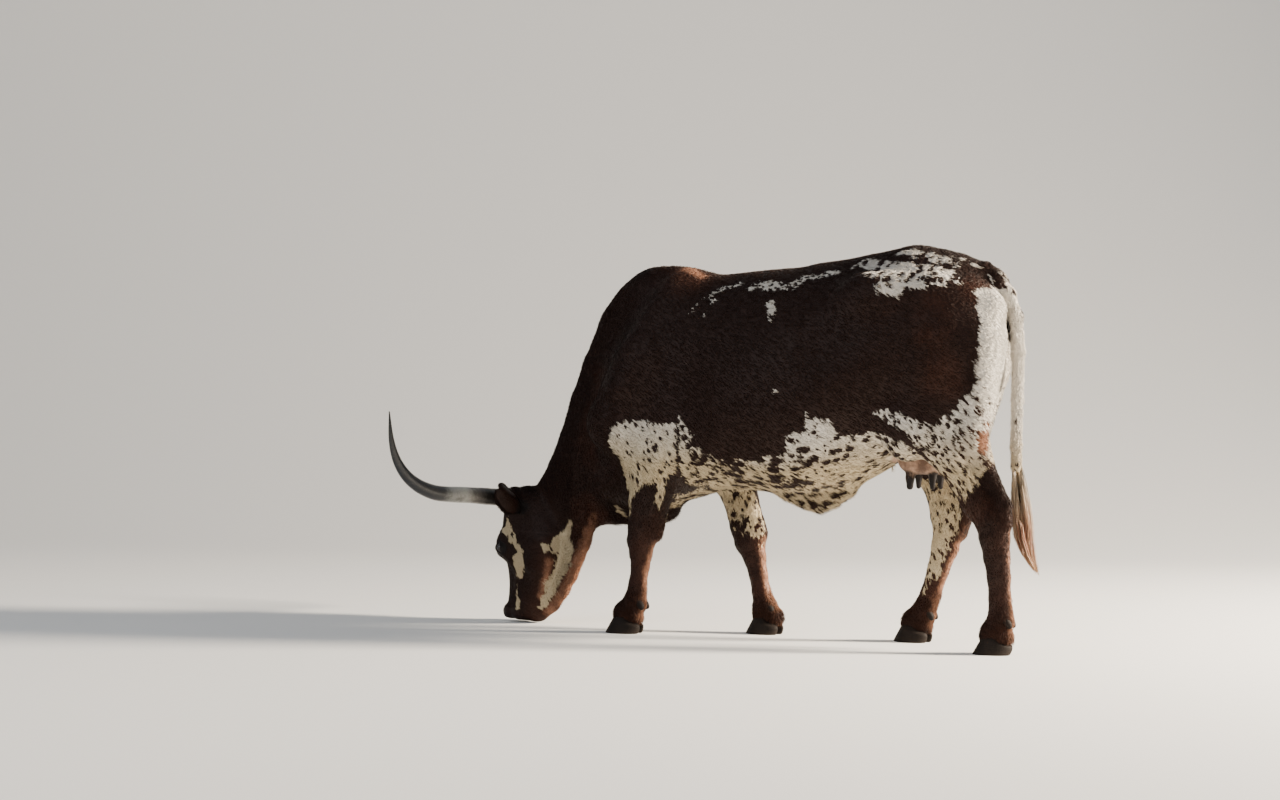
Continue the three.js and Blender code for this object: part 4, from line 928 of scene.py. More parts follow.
def markings_group():
    """Colour of the coat: brown with white patches, spots, ticks, tan parts, udder and dark skin, and
    painted light: sunlit red-brown, bounce-lit cream and shade near eye and ear.
    """
    tree, given, out = new_group("coat markings", [
        ("Brown", COLOUR, (0.0185, 0.0084, 0.006, 1)), ("Sunlit red brown", COLOUR, (0.042, 0.015, 0.0083, 1)),
        ("White", COLOUR, (0.62, 0.58, 0.52, 1)), ("Cream", COLOUR, (0.47, 0.37, 0.215, 1)),
        ("Tan and sunlit brown", COLOUR, (0.34, 0.165, 0.098, 1)), ("Udder", COLOUR, (0.33, 0.21, 0.145, 1)),
        ("Dark", COLOUR, (0.010, 0.0075, 0.007, 1)),
    ], [("Color", COLOUR), ("Pale", NUMBER)])
    root = vector_of(tree, "root")
    white = value_of(tree, "white")
    ticks = value_of(tree, "ticks")
    # ragged edge of the patches, in streaks along the hair
    streaks = noise(tree, drawn_out(tree, root, 3.2, -0.62), 130, 3, 0.6)
    wander = noise(tree, root, 21, 2, 0.5)
    edge = maths(tree, "MULTIPLY_ADD", maths(tree, "SUBTRACT", streaks, 0.5), 0.045,
                 maths(tree, "MULTIPLY", maths(tree, "SUBTRACT", wander, 0.5), 0.04))
    reach = maths(tree, "ADD", white, edge)
    pale = step_up(tree, reach, -0.0012, 0.0012)
    # large spots and small ticks of brown inside the white, more of them near its edge
    ragged = noise(tree, root, 90, 2, 0.6)
    high = step_up(tree, height_of(tree, root), 1.05, 1.15)
    spot_place = mixed(tree, high, drawn_out(tree, root, 1.45, 1.3),
                       stretched(tree, root, (1.15, 0.55, 0.9)))
    spot = flecks(tree, spot_place, 31, value_of(tree, "spots"), ragged)
    edge_share = maths(tree, "MULTIPLY", step_up(tree, reach, 0.022, 0.0), 0.45)
    share = maths(tree, "MULTIPLY", maths(tree, "ADD", ticks, edge_share),
                  step_up(tree, ticks, 0.0, 0.2))
    tick = flecks(tree, drawn_out(tree, root, 2.0, -0.45), 66, share, ragged)
    dense = flecks(tree, drawn_out(tree, root, 3.4, -0.62), 88,
                   maths(tree, "MULTIPLY_ADD", ticks, 2.0, -1.35), streaks)
    brown_in = maths(tree, "MAXIMUM", maths(tree, "MAXIMUM", spot, tick), dense)
    pale = maths(tree, "MULTIPLY", pale, maths(tree, "SUBTRACT", 1.0, brown_in), clamp=True)
    # colours, with painted sunlight as a redder brown and as part of the tan
    soft = noise(tree, root, 9, 3, 0.6)
    # painted sunlight: redder brown where the sunlit parts reach, with a soft ragged edge
    sunlit_red = step_up(tree, maths(tree, "MULTIPLY_ADD", maths(tree, "SUBTRACT", soft, 0.5), 0.2,
                               value_of(tree, "sunlit_red")),
                   -0.07, 0.05)
    brown = mixed(tree, sunlit_red, given.outputs["Brown"], given.outputs["Sunlit red brown"])
    # tan, partly painted sunlight, with the same ragged edge
    tan_and_sunlit = maths(tree, "MULTIPLY_ADD", edge, 0.7, value_of(tree, "tan_and_sunlit"))
    brown = mixed(tree, maths(tree, "MULTIPLY", step_up(tree, tan_and_sunlit, -0.012, 0.012), 0.9), brown,
                  given.outputs["Tan and sunlit brown"])
    # cream on the white hair low on the body and near its middle: partly the hair's own cream, partly
    # painted yellow bounce light from below
    place = node(tree, "ShaderNodeSeparateXYZ", {0: root})
    inward = step_up(tree, maths(tree, "ABSOLUTE", place.outputs["Y"]), 0.31, 0.23)
    under = maths(tree, "MULTIPLY", step_up(tree, place.outputs["Z"], 0.8, 0.62), inward)
    white_hair = mixed(tree, maths(tree, "MULTIPLY", under, 0.85), given.outputs["White"],
                       given.outputs["Cream"])
    colour = mixed(tree, pale, brown, white_hair)
    bare = step_up(tree, maths(tree, "MULTIPLY_ADD", edge, 0.3, value_of(tree, "bare")), -0.006, 0.006)
    cloud = step_up(tree, noise(tree, root, 19, 3, 0.6), 0.42, 0.62)
    udder = mixed(tree, cloud, given.outputs["Udder"], (0.1, 0.058, 0.04, 1))
    colour = mixed(tree, bare, colour, udder)
    # near-black: dark skin of the muzzle and teats, painted shade round the eye and at the ear's root
    dark = step_up(tree, maths(tree, "MULTIPLY_ADD", edge, 0.35, value_of(tree, "dark")), -0.007, 0.007)
    colour = mixed(tree, dark, colour, given.outputs["Dark"])
    # fine variation from hair to hair
    fine = noise(tree, drawn_out(tree, root, 3.0, -0.9), 420, 2, 0.6)
    shade = maths(tree, "MULTIPLY_ADD", maths(tree, "SUBTRACT", fine, 0.5), 0.5, 1.0)
    colour = node(tree, "ShaderNodeVectorMath", {0: colour, 1: shade}, operation="MULTIPLY").outputs[0]
    tree.links.new(colour, out.inputs["Color"])
    tree.links.new(pale, out.inputs["Pale"])
    return tree


def grain_group():
    """Fine streaks along one direction, as a height for Bump."""
    tree, given, out = new_group("fine streaks", [
        ("Vector", VECTOR, (0, 0, 0)), ("Scale", NUMBER, 200.0),
    ], [("Height", NUMBER)])
    first = noise(tree, given.outputs["Vector"], given.outputs["Scale"], 3, 0.6)
    tree.links.new(first, out.inputs["Height"])
    return tree


MARKINGS = markings_group()
STREAKS = grain_group()


def new_material(name):
    made = bpy.data.materials.new(name)
    made.use_nodes = True
    tree = made.node_tree
    return made, tree, tree.nodes["Principled BSDF"]


def coat_material(name, is_skin):
    made, tree, shader = new_material(name)
    markings = node(tree, "ShaderNodeGroup", node_tree=MARKINGS)
    tree.links.new(markings.outputs["Color"], shader.inputs["Base Color"])
    rough = maths(tree, "MULTIPLY_ADD", markings.outputs["Pale"], 0.14, 0.46)
    tree.links.new(rough, shader.inputs["Roughness"])
    shader.inputs["Specular IOR Level"].default_value = 0.14
    if is_skin:
        root = vector_of(tree, "root")
        leg = step_up(tree, height_of(tree, root), 0.62, 0.5)
        body_way, leg_way = drawn_out(tree, root, 4.5, -1.0), drawn_out(tree, root, 4.5, 0)
        body_hair = node(tree, "ShaderNodeGroup", {"Vector": body_way, "Scale": 330},
                         node_tree=STREAKS).outputs[0]
        leg_hair = node(tree, "ShaderNodeGroup", {"Vector": leg_way, "Scale": 330},
                        node_tree=STREAKS).outputs[0]
        hair = mixed(tree, leg, body_hair, leg_hair)
        bumped = node(tree, "ShaderNodeBump", {"Height": hair, "Strength": 0.4, "Distance": 0.003})
        tree.links.new(bumped.outputs[0], shader.inputs["Normal"])
    return made


skin_material = coat_material("hide", True)
skin.data.materials.clear()
skin.data.materials.append(skin_material)


def finish_piece(obj, material, replaced=None):
    """Gives a piece its material and slot and lets it ride, in place of the named node if any."""
    obj.data.materials.clear()
    obj.data.materials.append(material)
    for polygon in obj.data.polygons:
        polygon.use_smooth = True
    if replaced:
        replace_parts(obj, replaced)
    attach(obj, "root")
    return obj


# Eyes: a globe with a cornea, dark iris and long pupil
def eye_material():
    made, tree, shader = new_material("eye")
    place = vector_of(tree, "iris")
    ring = node(tree, "ShaderNodeVectorMath", {0: place}, operation="LENGTH").outputs["Value"]
    slit = node(tree, "ShaderNodeVectorMath", {0: stretched(tree, place, (2.1, 4.2, 1))},
                operation="LENGTH")
    iris = mixed(tree, noise(tree, place, 9, 3, 0.6), (0.012, 0.005, 0.003, 1),
                 (0.035, 0.014, 0.007, 1))
    iris = mixed(tree, step_up(tree, slit.outputs["Value"], 1.1, 0.9), iris, (0.002, 0.002, 0.003, 1))
    white = mixed(tree, noise(tree, place, 5, 2, 0.5), (0.05, 0.025, 0.018, 1), (0.2, 0.13, 0.1, 1))
    colour = mixed(tree, step_up(tree, ring, 0.76, 0.84), iris, white)
    tree.links.new(colour, shader.inputs["Base Color"])
    shader.inputs["Roughness"].default_value = 0.06
    shader.inputs["Coat Weight"].default_value = 0.6
    shader.inputs["Coat Roughness"].default_value = 0.02
    return made


EYE_FINISH = eye_material()


def eye(name, side):
    centre = on_head(EYE[0], side * EYE[1], EYE[2])
    look = np.array([0.1, side * 1.0, 0.02]) @ HEAD
    look /= np.linalg.norm(look)
    bm = bmesh.new()
    bmesh.ops.create_uvsphere(bm, u_segments=48, v_segments=32, radius=EYE_RADIUS / 1000)
    turn = Vector((0, 0, 1)).rotation_difference(Vector(look)).to_matrix().to_4x4()
    for v in bm.verts:
        out = v.co.normalized().z
        v.co *= 1 + 0.05 * max(out - 0.72, 0) / 0.28
    bmesh.ops.transform(bm, matrix=Matrix.Translation(to_row(centre)) @ turn, verts=bm.verts)
    mesh = meshed(name, bm)
    p = to_cow(places(mesh)) - centre
    long_axis = (long_way * (1, side, 1)) @ HEAD
    short_axis = (short_way * (1, side, 1)) @ HEAD
    away = np.where(p @ look > 0, 0, 30)
    set_vectors(mesh, "iris", np.stack([p @ long_axis, p @ short_axis, away], 1) / EYE_RADIUS)
    return finish_piece(linked(name, mesh), EYE_FINISH, name[len("globe_"):])


eye("globe_eye_left", 1)
eye("globe_eye_right", -1)


def swept(name, points, radii, sides=16, up=(0, 0, 1)):
    """A closed tube through points of the cow's frame: a ring carried from place to place."""
    points = np.asarray(points, float)
    bm = bmesh.new()
    ways = np.gradient(points, axis=0)
    ways /= np.linalg.norm(ways, axis=1)[:, None]
    rings = []
    for place, way, radius in zip(points, ways, radii):
        wide, thick = radius if np.ndim(radius) else (radius, radius)
        side = np.cross(up, way)
        side /= np.linalg.norm(side)
        top = np.cross(way, side)
        ring = bmesh.ops.create_circle(bm, segments=sides, radius=1)["verts"]
        frame_of = Matrix((Vector(side) * wide / 1000, Vector(top) * thick / 1000,
                           Vector(way))).transposed()
        where = Matrix.Translation(to_row(place)) @ frame_of.to_4x4()
        bmesh.ops.transform(bm, matrix=where, verts=ring)
        rings.append([e for e in {e for v in ring for e in v.link_edges}])
    for a, b in zip(rings, rings[1:]):
        bmesh.ops.bridge_loops(bm, edges=a + b)
    for ring in (rings[0], rings[-1]):
        bmesh.ops.contextual_create(bm, geom=ring)
    bmesh.ops.recalc_face_normals(bm, faces=bm.faces)
    mesh = meshed(name, bm)
    return linked(name, mesh)


def smooth_path(points, count):
    """Points evenly along a smooth curve through the given ones."""
    points = np.asarray(points, float)
    gaps = np.linalg.norm(np.diff(points, axis=0), axis=1)
    at = np.concatenate([[0], np.cumsum(gaps ** 0.5)])
    rows = np.column_stack([at, points])
    fine = through(rows, np.linspace(0, at[-1], 400)).T
    length = np.concatenate([[0], np.cumsum(np.linalg.norm(np.diff(fine, axis=0), axis=1))])
    wanted = np.linspace(0, length[-1], count)
    return np.stack([np.interp(wanted, length, fine[:, i]) for i in range(3)], 1)


# Horns
HORN = [
    (-4, 60, 28), (-4, 84, 28), (4, 159, 25), (12, 270, 18), (28, 418, 11), (36, 476, -1),
    (45, 532, -25), (54, 580, -62), (62, 619, -117), (66, 645, -190), (69, 659, -291),
]


def horn_material():
    made, tree, shader = new_material("horn")
    place = node(tree, "ShaderNodeTexCoord").outputs["Object"]
    cloud = noise(tree, place, 26, 4, 0.6)
    streaks = noise(tree, stretched(tree, place, (0.25, 1.3, 1.3)), 90, 3, 0.65)
    wander = maths(tree, "MULTIPLY_ADD", maths(tree, "SUBTRACT", streaks, 0.5), 0.07,
                   value_of(tree, "along"))
    # colour along the horn: near-black base, a pale grey band, then blue-grey going to a near-black tip;
    # the dark of the curve is partly the horn's own and partly painted shade
    colour = ramp_of(tree, wander, [
        (0.0, (0.014, 0.011, 0.01)), (0.2, (0.022, 0.018, 0.015)), (0.265, (0.1, 0.09, 0.078)),
        (0.33, (0.36, 0.35, 0.31)), (0.41, (0.24, 0.24, 0.22)), (0.46, (0.045, 0.044, 0.044)),
        (0.7, (0.022, 0.023, 0.026)), (0.88, (0.014, 0.013, 0.0135)), (1.0, (0.007, 0.006, 0.006))])
    colour = mixed(tree, maths(tree, "MULTIPLY", step_up(tree, cloud, 0.52, 0.72), 0.6), colour,
                   (0.03, 0.025, 0.022, 1))
    colour = mixed(tree, maths(tree, "MULTIPLY", step_up(tree, streaks, 0.55, 0.7), 0.2), colour,
                   (0.17, 0.16, 0.14, 1))
    tree.links.new(colour, shader.inputs["Base Color"])
    tree.links.new(maths(tree, "MULTIPLY_ADD", cloud, 0.25, 0.22), shader.inputs["Roughness"])
    fine = node(tree, "ShaderNodeGroup", {"Vector": stretched(tree, place, (0.2, 1, 1)),
                                          "Scale": 260}, node_tree=STREAKS)
    bumped = node(tree, "ShaderNodeBump", {"Height": fine.outputs[0], "Strength": 0.25,
                                           "Distance": 0.002})
    tree.links.new(bumped.outputs[0], shader.inputs["Normal"])
    return made


HORN_FINISH = horn_material()


def horn(name, side):
    path = smooth_path([on_head(a, side * l, d) for a, l, d in HORN], 90)
    t = np.linspace(0, 1, 90)
    shaft = 1 - 0.12 * ease(t, 0, 0.15) - 0.26 * t
    taper = 1 - 0.92 * np.maximum((t - 0.45) / 0.55, 0) ** 1.6
    fine_rings = 0.35 * np.sin(t * 150) * (1 - ease(t, 0.08, 0.4))
    rings = fine_rings + 0.6 * np.sin(t * 37 + 1) * (1 - ease(t, 0.2, 0.6))
    obj = swept(name + "_grown", path, 38 * shaft * taper + rings, 32, (0.2, 0.3, 1))
    p = to_cow(places(obj.data))
    nearest = np.argmin(np.linalg.norm(p[:, None] - path[None], axis=2), axis=1)
    set_values(obj.data, "along", t[nearest])
    return finish_piece(obj, HORN_FINISH, name)


horn("horn_left", 1)
horn("horn_right", -1)


# Lids: a soft rim along each edge of the eye's opening
def lid(name, side, upper):
    rise = 1 if upper else -1
    steps = np.linspace(-1, 1, 15)
    path = []
    for t in steps:
        flat = long_way * EYE_LONG * 1.02 * t + short_way * rise * EYE_SHORT * (1 - t * t)
        out = math.sqrt(max(21.5 ** 2 - flat @ flat, 5 ** 2))
        path.append(on_head(*((EYE + flat + (0, out, 0)) * (1, side, 1))))
    full = np.sqrt(np.clip(1 - steps ** 2, 0.05, 1))
    obj = swept(name, path, [((3.6 if upper else 2.8) * f + 0.5, 2.6 * f + 0.5) for f in full], 12,
                np.array([0, side, 0]) @ HEAD)
    add_plan(obj.data, to_cow(places(obj.data)))
    return finish_piece(obj, skin_material)


for word, side in (("left", 1), ("right", -1)):
    lid("lid_upper_" + word, side, True)
    lid("lid_lower_" + word, side, False)


# Ears: a leaf with a deep cup that opens forward and down, then given its thickness
def ear_sheet(side, t, v):
    """Places on the ear's middle sheet: t from root to tip, v from edge to edge; its way and lift."""
    line = smooth_path([on_head(-58, side * 72, 68), on_head(-74, side * 150, 36),
                        on_head(-84, side * 232, -16)], 60)
    steps = np.linspace(0, 1, 60)
    place = np.stack([np.interp(t, steps, line[:, i]) for i in range(3)], 1)
    way = unit(np.stack([np.interp(t, steps, np.gradient(line[:, i])) for i in range(3)], 1))
    facing = np.array([0.95, side * 0.12, 0.1]) @ HEAD
    across = unit(np.cross(facing, way))
    lift = np.cross(way, across)
    rounded = (1 - np.clip((t - 0.45) / 0.555, 0, 1) ** 4) ** 0.5
    wide = np.where(t < 0.45, 18 + 27 * ease(t, 0, 0.45), 45 * rounded)
    curl = (0.35 + 0.3 * ease(t, 0, 0.3)) * wide
    wave = 2.5 * np.sin(t * 9 + v * 2) * np.abs(v) * ease(t, 0.2, 0.5)
    raised = curl * (v * v - 0.45) + wave
    return place + across * (wide * v)[:, None] + lift * raised[:, None], way, lift


def ear(name, side):
    bm = bmesh.new()
    bmesh.ops.create_grid(bm, x_segments=26, y_segments=16, size=0.5)
    grid = np.array([v.co for v in bm.verts])
    points = ear_sheet(side, grid[:, 0] + 0.5, grid[:, 1] * 2)[0]
    for v, place in zip(bm.verts, to_row(points)):
        v.co = place
    mesh = meshed(name, bm)
    obj = linked(name, mesh)
    wall = obj.modifiers.new("wall", "SOLIDIFY")
    wall.thickness = 0.005
    wall.offset = 0
    soft = obj.modifiers.new("soft", "SUBSURF")
    soft.levels = soft.render_levels = 1
    finished(obj)
    add_plan(obj.data, to_cow(places(obj.data)))
    return finish_piece(obj, skin_material, name[:-len("_hide")])


ear("ear_left_hide", 1)
ear("ear_right_hide", -1)


# Hooves: two claws to a foot, with a sloping toe, low heel bulbs and fine rings round the wall
CLAW_LENGTH, CLAW_WIDTH, HOOF_HEIGHT = 122, 57, 74


def hoof_material():
    made, tree, shader = new_material("hoof")
    place = node(tree, "ShaderNodeTexCoord").outputs["Object"]
    wander = noise(tree, place, 22, 3, 0.6)
    level = maths(tree, "MULTIPLY_ADD", wander, 0.02, height_of(tree, place))
    rings = maths(tree, "SINE", maths(tree, "MULTIPLY", level, 900))
    streaks = noise(tree, stretched(tree, place, (1, 1, 0.15)), 240, 3, 0.6)
    dust = step_up(tree, maths(tree, "MULTIPLY_ADD", wander, 0.03, height_of(tree, place)), 0.036,
                   0.012)
    colour = mixed(tree, streaks, (0.006, 0.0045, 0.004, 1), (0.022, 0.016, 0.013, 1))
    colour = mixed(tree, maths(tree, "MULTIPLY", dust, 0.15), colour, (0.07, 0.05, 0.035, 1))
    tree.links.new(colour, shader.inputs["Base Color"])
    shader.inputs["Specular IOR Level"].default_value = 0.1
    tree.links.new(maths(tree, "MULTIPLY_ADD", streaks, 0.3, 0.5), shader.inputs["Roughness"])
    wall = maths(tree, "MULTIPLY_ADD", rings, 0.25, streaks)
    bumped = node(tree, "ShaderNodeBump", {"Height": wall, "Strength": 0.4, "Distance": 0.0015})
    tree.links.new(bumped.outputs[0], shader.inputs["Normal"])
    return made


HOOF_FINISH = hoof_material()


def claw(leg, word):
    x, y, turn = HOOVES[leg]
    out = (-1 if leg.endswith("left") else 1) * (1 if word == "outer" else -1)
    bm = bmesh.new()
    bmesh.ops.create_cone(bm, cap_ends=True, cap_tris=False, segments=48, radius1=1, radius2=1, depth=1)
    walls = [e for e in bm.edges if abs(e.verts[0].co.z - e.verts[1].co.z) > 0.5]
    bmesh.ops.subdivide_edges(bm, edges=walls, cuts=11)
    p = np.array([v.co for v in bm.verts])
    level = p[:, 2] + 0.5
    toe, flank = p[:, 0], p[:, 1]
    slope = 1 - 0.25 * level
    front = np.maximum(toe, 0)
    rim = 1.6 * (ease(level, 0.1, 0) ** 2) + 13 * ease(level, 0.6, 1) ** 2
    rings = 0.5 * np.sin(level * 30 + toe)
    wide = CLAW_WIDTH * 0.72 * np.where(flank > 0, 1, 0.3) * (1 - 0.35 * front ** 3) * slope
    bulb = 5 * np.maximum(-toe, 0) ** 2 * np.sin(math.pi * np.clip(level * 1.1, 0, 1))
    along = -toe * (CLAW_LENGTH / 2 * slope - rim + rings) + 20 * level - 6 * front * (1 - level) + bulb
    across = 2.5 + CLAW_WIDTH * 0.28 + flank * (wide - rim * 0.7 + rings)
    height = level * (HOOF_HEIGHT - 32 * ease(0.5 - toe * 0.6, 0, 1))
    angle = math.radians(turn)
    place = np.stack([x + along * math.cos(angle) - out * across * math.sin(angle),
                      y + along * math.sin(angle) + out * across * math.cos(angle), height], 1)
    for v, where in zip(bm.verts, to_row(place)):
        v.co = where
    bmesh.ops.recalc_face_normals(bm, faces=bm.faces)
    mesh = meshed(f"claw_{leg}_{word}_horn", bm)
    obj = finish_piece(linked(mesh.name, mesh), HOOF_FINISH, f"claw_{leg}_{word}")
    for polygon in mesh.polygons:
        polygon.use_smooth = len(polygon.vertices) < 6
    return obj


def dewclaw(leg, word):
    x, y, z = (LEGS[leg][1] if leg.startswith("front") else LEGS[leg][2])[-3][:3]
    out = (-1 if leg.endswith("left") else 1) * (1 if word == "outer" else -1)
    path = np.linspace((x + 18, y + out * 20, z + 5), (x + 44, y + out * 25, z - 25), 9)
    path[:, 0] += 3 * np.sin(np.linspace(0, math.pi, 9))
    obj = swept(f"dewclaw_{leg}_{word}_horn", path, [14, 14.5, 14.5, 14, 13.2, 12, 10.3, 8, 4], 20,
                (0, 1, 0))
    return finish_piece(obj, HOOF_FINISH, f"dewclaw_{leg}_{word}")


for leg in LEGS:
    for word in ("outer", "inner"):
        claw(leg, word)
        dewclaw(leg, word)


# Hair: closed three-sided strands, each along its own path that ends in its tip

def strands(name, paths, side, up, widths, thick, patch, roots, material):
    """Strands along paths (n, m, 3), with widths and thick (n, m - 1) and the root's UV patch (n, 2)."""
    count, stops = paths.shape[:2]
    rings = stops - 1
    left = paths[:, :-1] - side[:, None] * widths[..., None]
    right = paths[:, :-1] + side[:, None] * widths[..., None]
    top = paths[:, :-1] + up[:, None] * thick[..., None]
    points = np.concatenate([np.stack([left, right, top], 2).reshape(count, rings * 3, 3),
                             paths[:, -1:]], 1)
    points[..., 2] = np.maximum(points[..., 2], LEAST_HEIGHT)
    each = rings * 3 + 1
    faces = [(0, 2, 1)]
    for j in range(rings - 1):
        a, b = 3 * j, 3 * j + 3
        for i, k in ((0, 1), (1, 2), (2, 0)):
            faces += [(a + i, a + k, b + k), (a + i, b + k, b + i)]
    last = 3 * (rings - 1)
    faces += [(last, last + 1, each - 1), (last + 1, last + 2, each - 1), (last + 2, last, each - 1)]
    faces = np.array(faces)
    loops = (np.arange(count)[:, None, None] * each + faces[None]).reshape(-1)
    mesh = bpy.data.meshes.new(name)
    mesh.vertices.add(count * each)
    mesh.vertices.foreach_set("co", to_row(points.reshape(-1, 3)).ravel())
    mesh.loops.add(len(loops))
    mesh.loops.foreach_set("vertex_index", loops)
    mesh.polygons.add(len(loops) // 3)
    mesh.polygons.foreach_set("loop_start", np.arange(0, len(loops), 3))
    mesh.update(calc_edges=True)
    across = np.tile([-1.0, 1.0, 0.0], rings).tolist() + [0.0]
    along = np.repeat(np.linspace(-1, 0.7, rings), 3).tolist() + [1.0]
    offset = 0.0014 * np.stack([across, along], 1)
    uv = (patch[:, None] + offset[faces.ravel()][None]).reshape(-1, 2)
    layer = mesh.uv_layers.new(name="OFBake")
    layer.data.foreach_set("uv", uv.ravel())
    obj = linked(name, mesh)
    repeat = np.repeat(np.arange(count), each)
    for label, values in zip(PLAN, coat_plan(roots)):
        set_values(mesh, label, values[repeat])
    set_vectors(mesh, "root", (roots / 1000)[repeat])
    mesh.polygons.foreach_set("use_smooth", np.ones(len(loops) // 3, bool))
    mesh.materials.append(material)
    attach(obj, "root")
    return obj


hair_material = coat_material("short hair", False)


# Unwrap of the skin's own shape, made on a light copy of it, for the place of each tuft's colours
def skin_unwrap():
    light = linked("light_skin", skin.data.copy())
    even = light.modifiers.new("even", "REMESH")
    even.mode = "VOXEL"
    even.voxel_size = 0.024
    finished(light)
    bpy.context.view_layer.objects.active = light
    light.select_set(True)
    bpy.ops.object.mode_set(mode="EDIT")
    bpy.ops.mesh.select_all(action="SELECT")
    bpy.ops.mesh.quads_convert_to_tris()
    bpy.ops.uv.smart_project(angle_limit=math.radians(66), island_margin=0.002)
    bpy.ops.object.mode_set(mode="OBJECT")
    mesh = light.data
    corners = np.empty(len(mesh.loops) * 2)
    mesh.uv_layers.active.data.foreach_get("uv", corners)
    order = np.empty(len(mesh.loops), int)
    mesh.loops.foreach_get("vertex_index", order)
    p = places(mesh)
    tree = BVHTree.FromPolygons(p.tolist(), order.reshape(-1, 3).tolist())
    triangles = p[order].reshape(-1, 3, 3)
    bpy.data.objects.remove(light)
    bpy.data.meshes.remove(mesh)
    return tree, triangles, corners.reshape(-1, 3, 2)


def unwrapped(points):
    """Places on the unwrap for points of the cow's frame."""
    found = [SKIN_TREE.find_nearest(v) for v in to_row(points).tolist()]
    near = np.array([hit[0] for hit in found])
    index = np.array([hit[2] for hit in found])
    a, b, c = np.moveaxis(SKIN_TRIANGLES[index], 1, 0)
    total = np.linalg.norm(np.cross(b - a, c - a), axis=1)
    wa = np.linalg.norm(np.cross(b - near, c - near), axis=1) / total
    wb = np.linalg.norm(np.cross(near - a, c - a), axis=1) / total
    uv = SKIN_CORNERS[index]
    return uv[:, 0] * wa[:, None] + uv[:, 1] * wb[:, None] + uv[:, 2] * (1 - wa - wb)[:, None]


SKIN_TREE, SKIN_TRIANGLES, SKIN_CORNERS = skin_unwrap()


def coat_lie(p):
    """Way of the hair: back and down on the trunk, down on the legs, back along neck and face."""
    h = in_head(p)
    lie = np.tile([0.8, 0, -0.45], (len(p), 1))
    neck_share = ease(-p[:, 0], 600, 760)[:, None]
    lie = lie * (1 - neck_share) + neck_share * [0.5, 0, 0.75]
    down_face = HEAD[2] * 0.9 - HEAD[0] * 0.45
    up_face = -HEAD[2] * 0.9 - HEAD[0] * 0.3
    on_face = (ease(h[:, 0], -290, -180) * ease(h[:, 2], -40, 20) * (p[:, 0] < -860))[:, None]
    face = np.where((h[:, 2] > 150)[:, None], down_face, up_face)
    lie = lie * (1 - on_face) + on_face * face
    low = (ease(-p[:, 2], -640, -500) * ease(np.abs(p[:, 1]), 50, 90) * (p[:, 0] > -760))[:, None]
    lie = lie * (1 - low) + low * [0, 0, -1]
    tail = (p[:, 0] > 795)[:, None] * (np.abs(p[:, 1]) < 40)[:, None]
    return np.where(tail, [0, 0, -1.0], lie)


def skin_samples(count, weight):
    """Points, normals and uncarved places of the hair's roots, spread over the skin by area times the
    given weight.
    """
    mesh = skin.data
    mesh.calc_loop_triangles()
    order = np.empty(len(mesh.loop_triangles) * 3, np.int32)
    mesh.loop_triangles.foreach_get("vertices", order)
    p = to_cow(places(mesh))
    n = normals(mesh)
    corners = order.reshape(-1, 3)
    a, b, c = p[corners[:, 0]], p[corners[:, 1]], p[corners[:, 2]]
    share = np.linalg.norm(np.cross(b - a, c - a), axis=1) * weight((a + b + c) / 3)
    pick = np.searchsorted(np.cumsum(share), random.random(count) * share.sum())
    pick = np.minimum(pick, len(corners) - 1)
    u, v = random.random((2, count))
    over = u + v > 1
    u, v = np.where(over, 1 - u, u), np.where(over, 1 - v, v)
    w = np.stack([1 - u - v, u, v], 1)
    place = np.einsum("ij,ijk->ik", w, p[corners[pick]])
    normal = unit(np.einsum("ij,ijk->ik", w, n[corners[pick]]))
    plain = np.einsum("ij,ijk->ik", w, base[corners[pick]])
    return place, normal, plain


def lying(place, normal, jitter):
    """The way of each tuft along the skin, and the way across it."""
    lie = coat_lie(place)
    lie = lie - normal * np.sum(lie * normal, axis=1)[:, None]
    weak = np.linalg.norm(lie, axis=1) < 0.12
    lie[weak] = np.cross(normal[weak], (0, 1, 0))
    way = unit(lie)
    side = np.cross(normal, way)
    angle = random.normal(0, jitter, len(place))[:, None]
    return way * np.cos(angle) + side * np.sin(angle), side * np.cos(angle) - way * np.sin(angle)


def hairless(p):
    """Parts of the skin without tufts: eyes, nostrils, muzzle, mouth, udder and teats."""
    h = both(in_head(p))
    q = both(p)
    eye_part = np.linalg.norm((h - EYE) / (26, 40, 26), axis=1) < 1
    muzzle = (h[:, 2] > 448) & (h[:, 0] > -60) & (h[:, 2] < 540)
    udder = (p[:, 0] > 385) & (p[:, 0] < 640) & (p[:, 2] > 540) & (p[:, 2] < 690)
    udder &= np.abs(p[:, 1]) < 96
    horn_root = np.linalg.norm((h - (0, 100, 28)) / (36, 40, 36), axis=1) < 1
    hoof = (p[:, 2] < 40) & (p[:, 0] > -760)
    tail_end = (q[:, 0] > 820) & (p[:, 2] < 646) & (q[:, 1] < 30)
    return eye_part | muzzle | udder | horn_root | hoof | tail_end


def hair_length(p):
    """Length of the flat coat: short on the face and feet."""
    h = in_head(p)
    on_face = ease(h[:, 0], -290, -180) * ease(h[:, 2], -20, 60) * (p[:, 0] < -860)
    foot = ease(-p[:, 2], -520, -300) * (p[:, 0] > -760)
    return 15 - 9 * on_face - 6 * foot


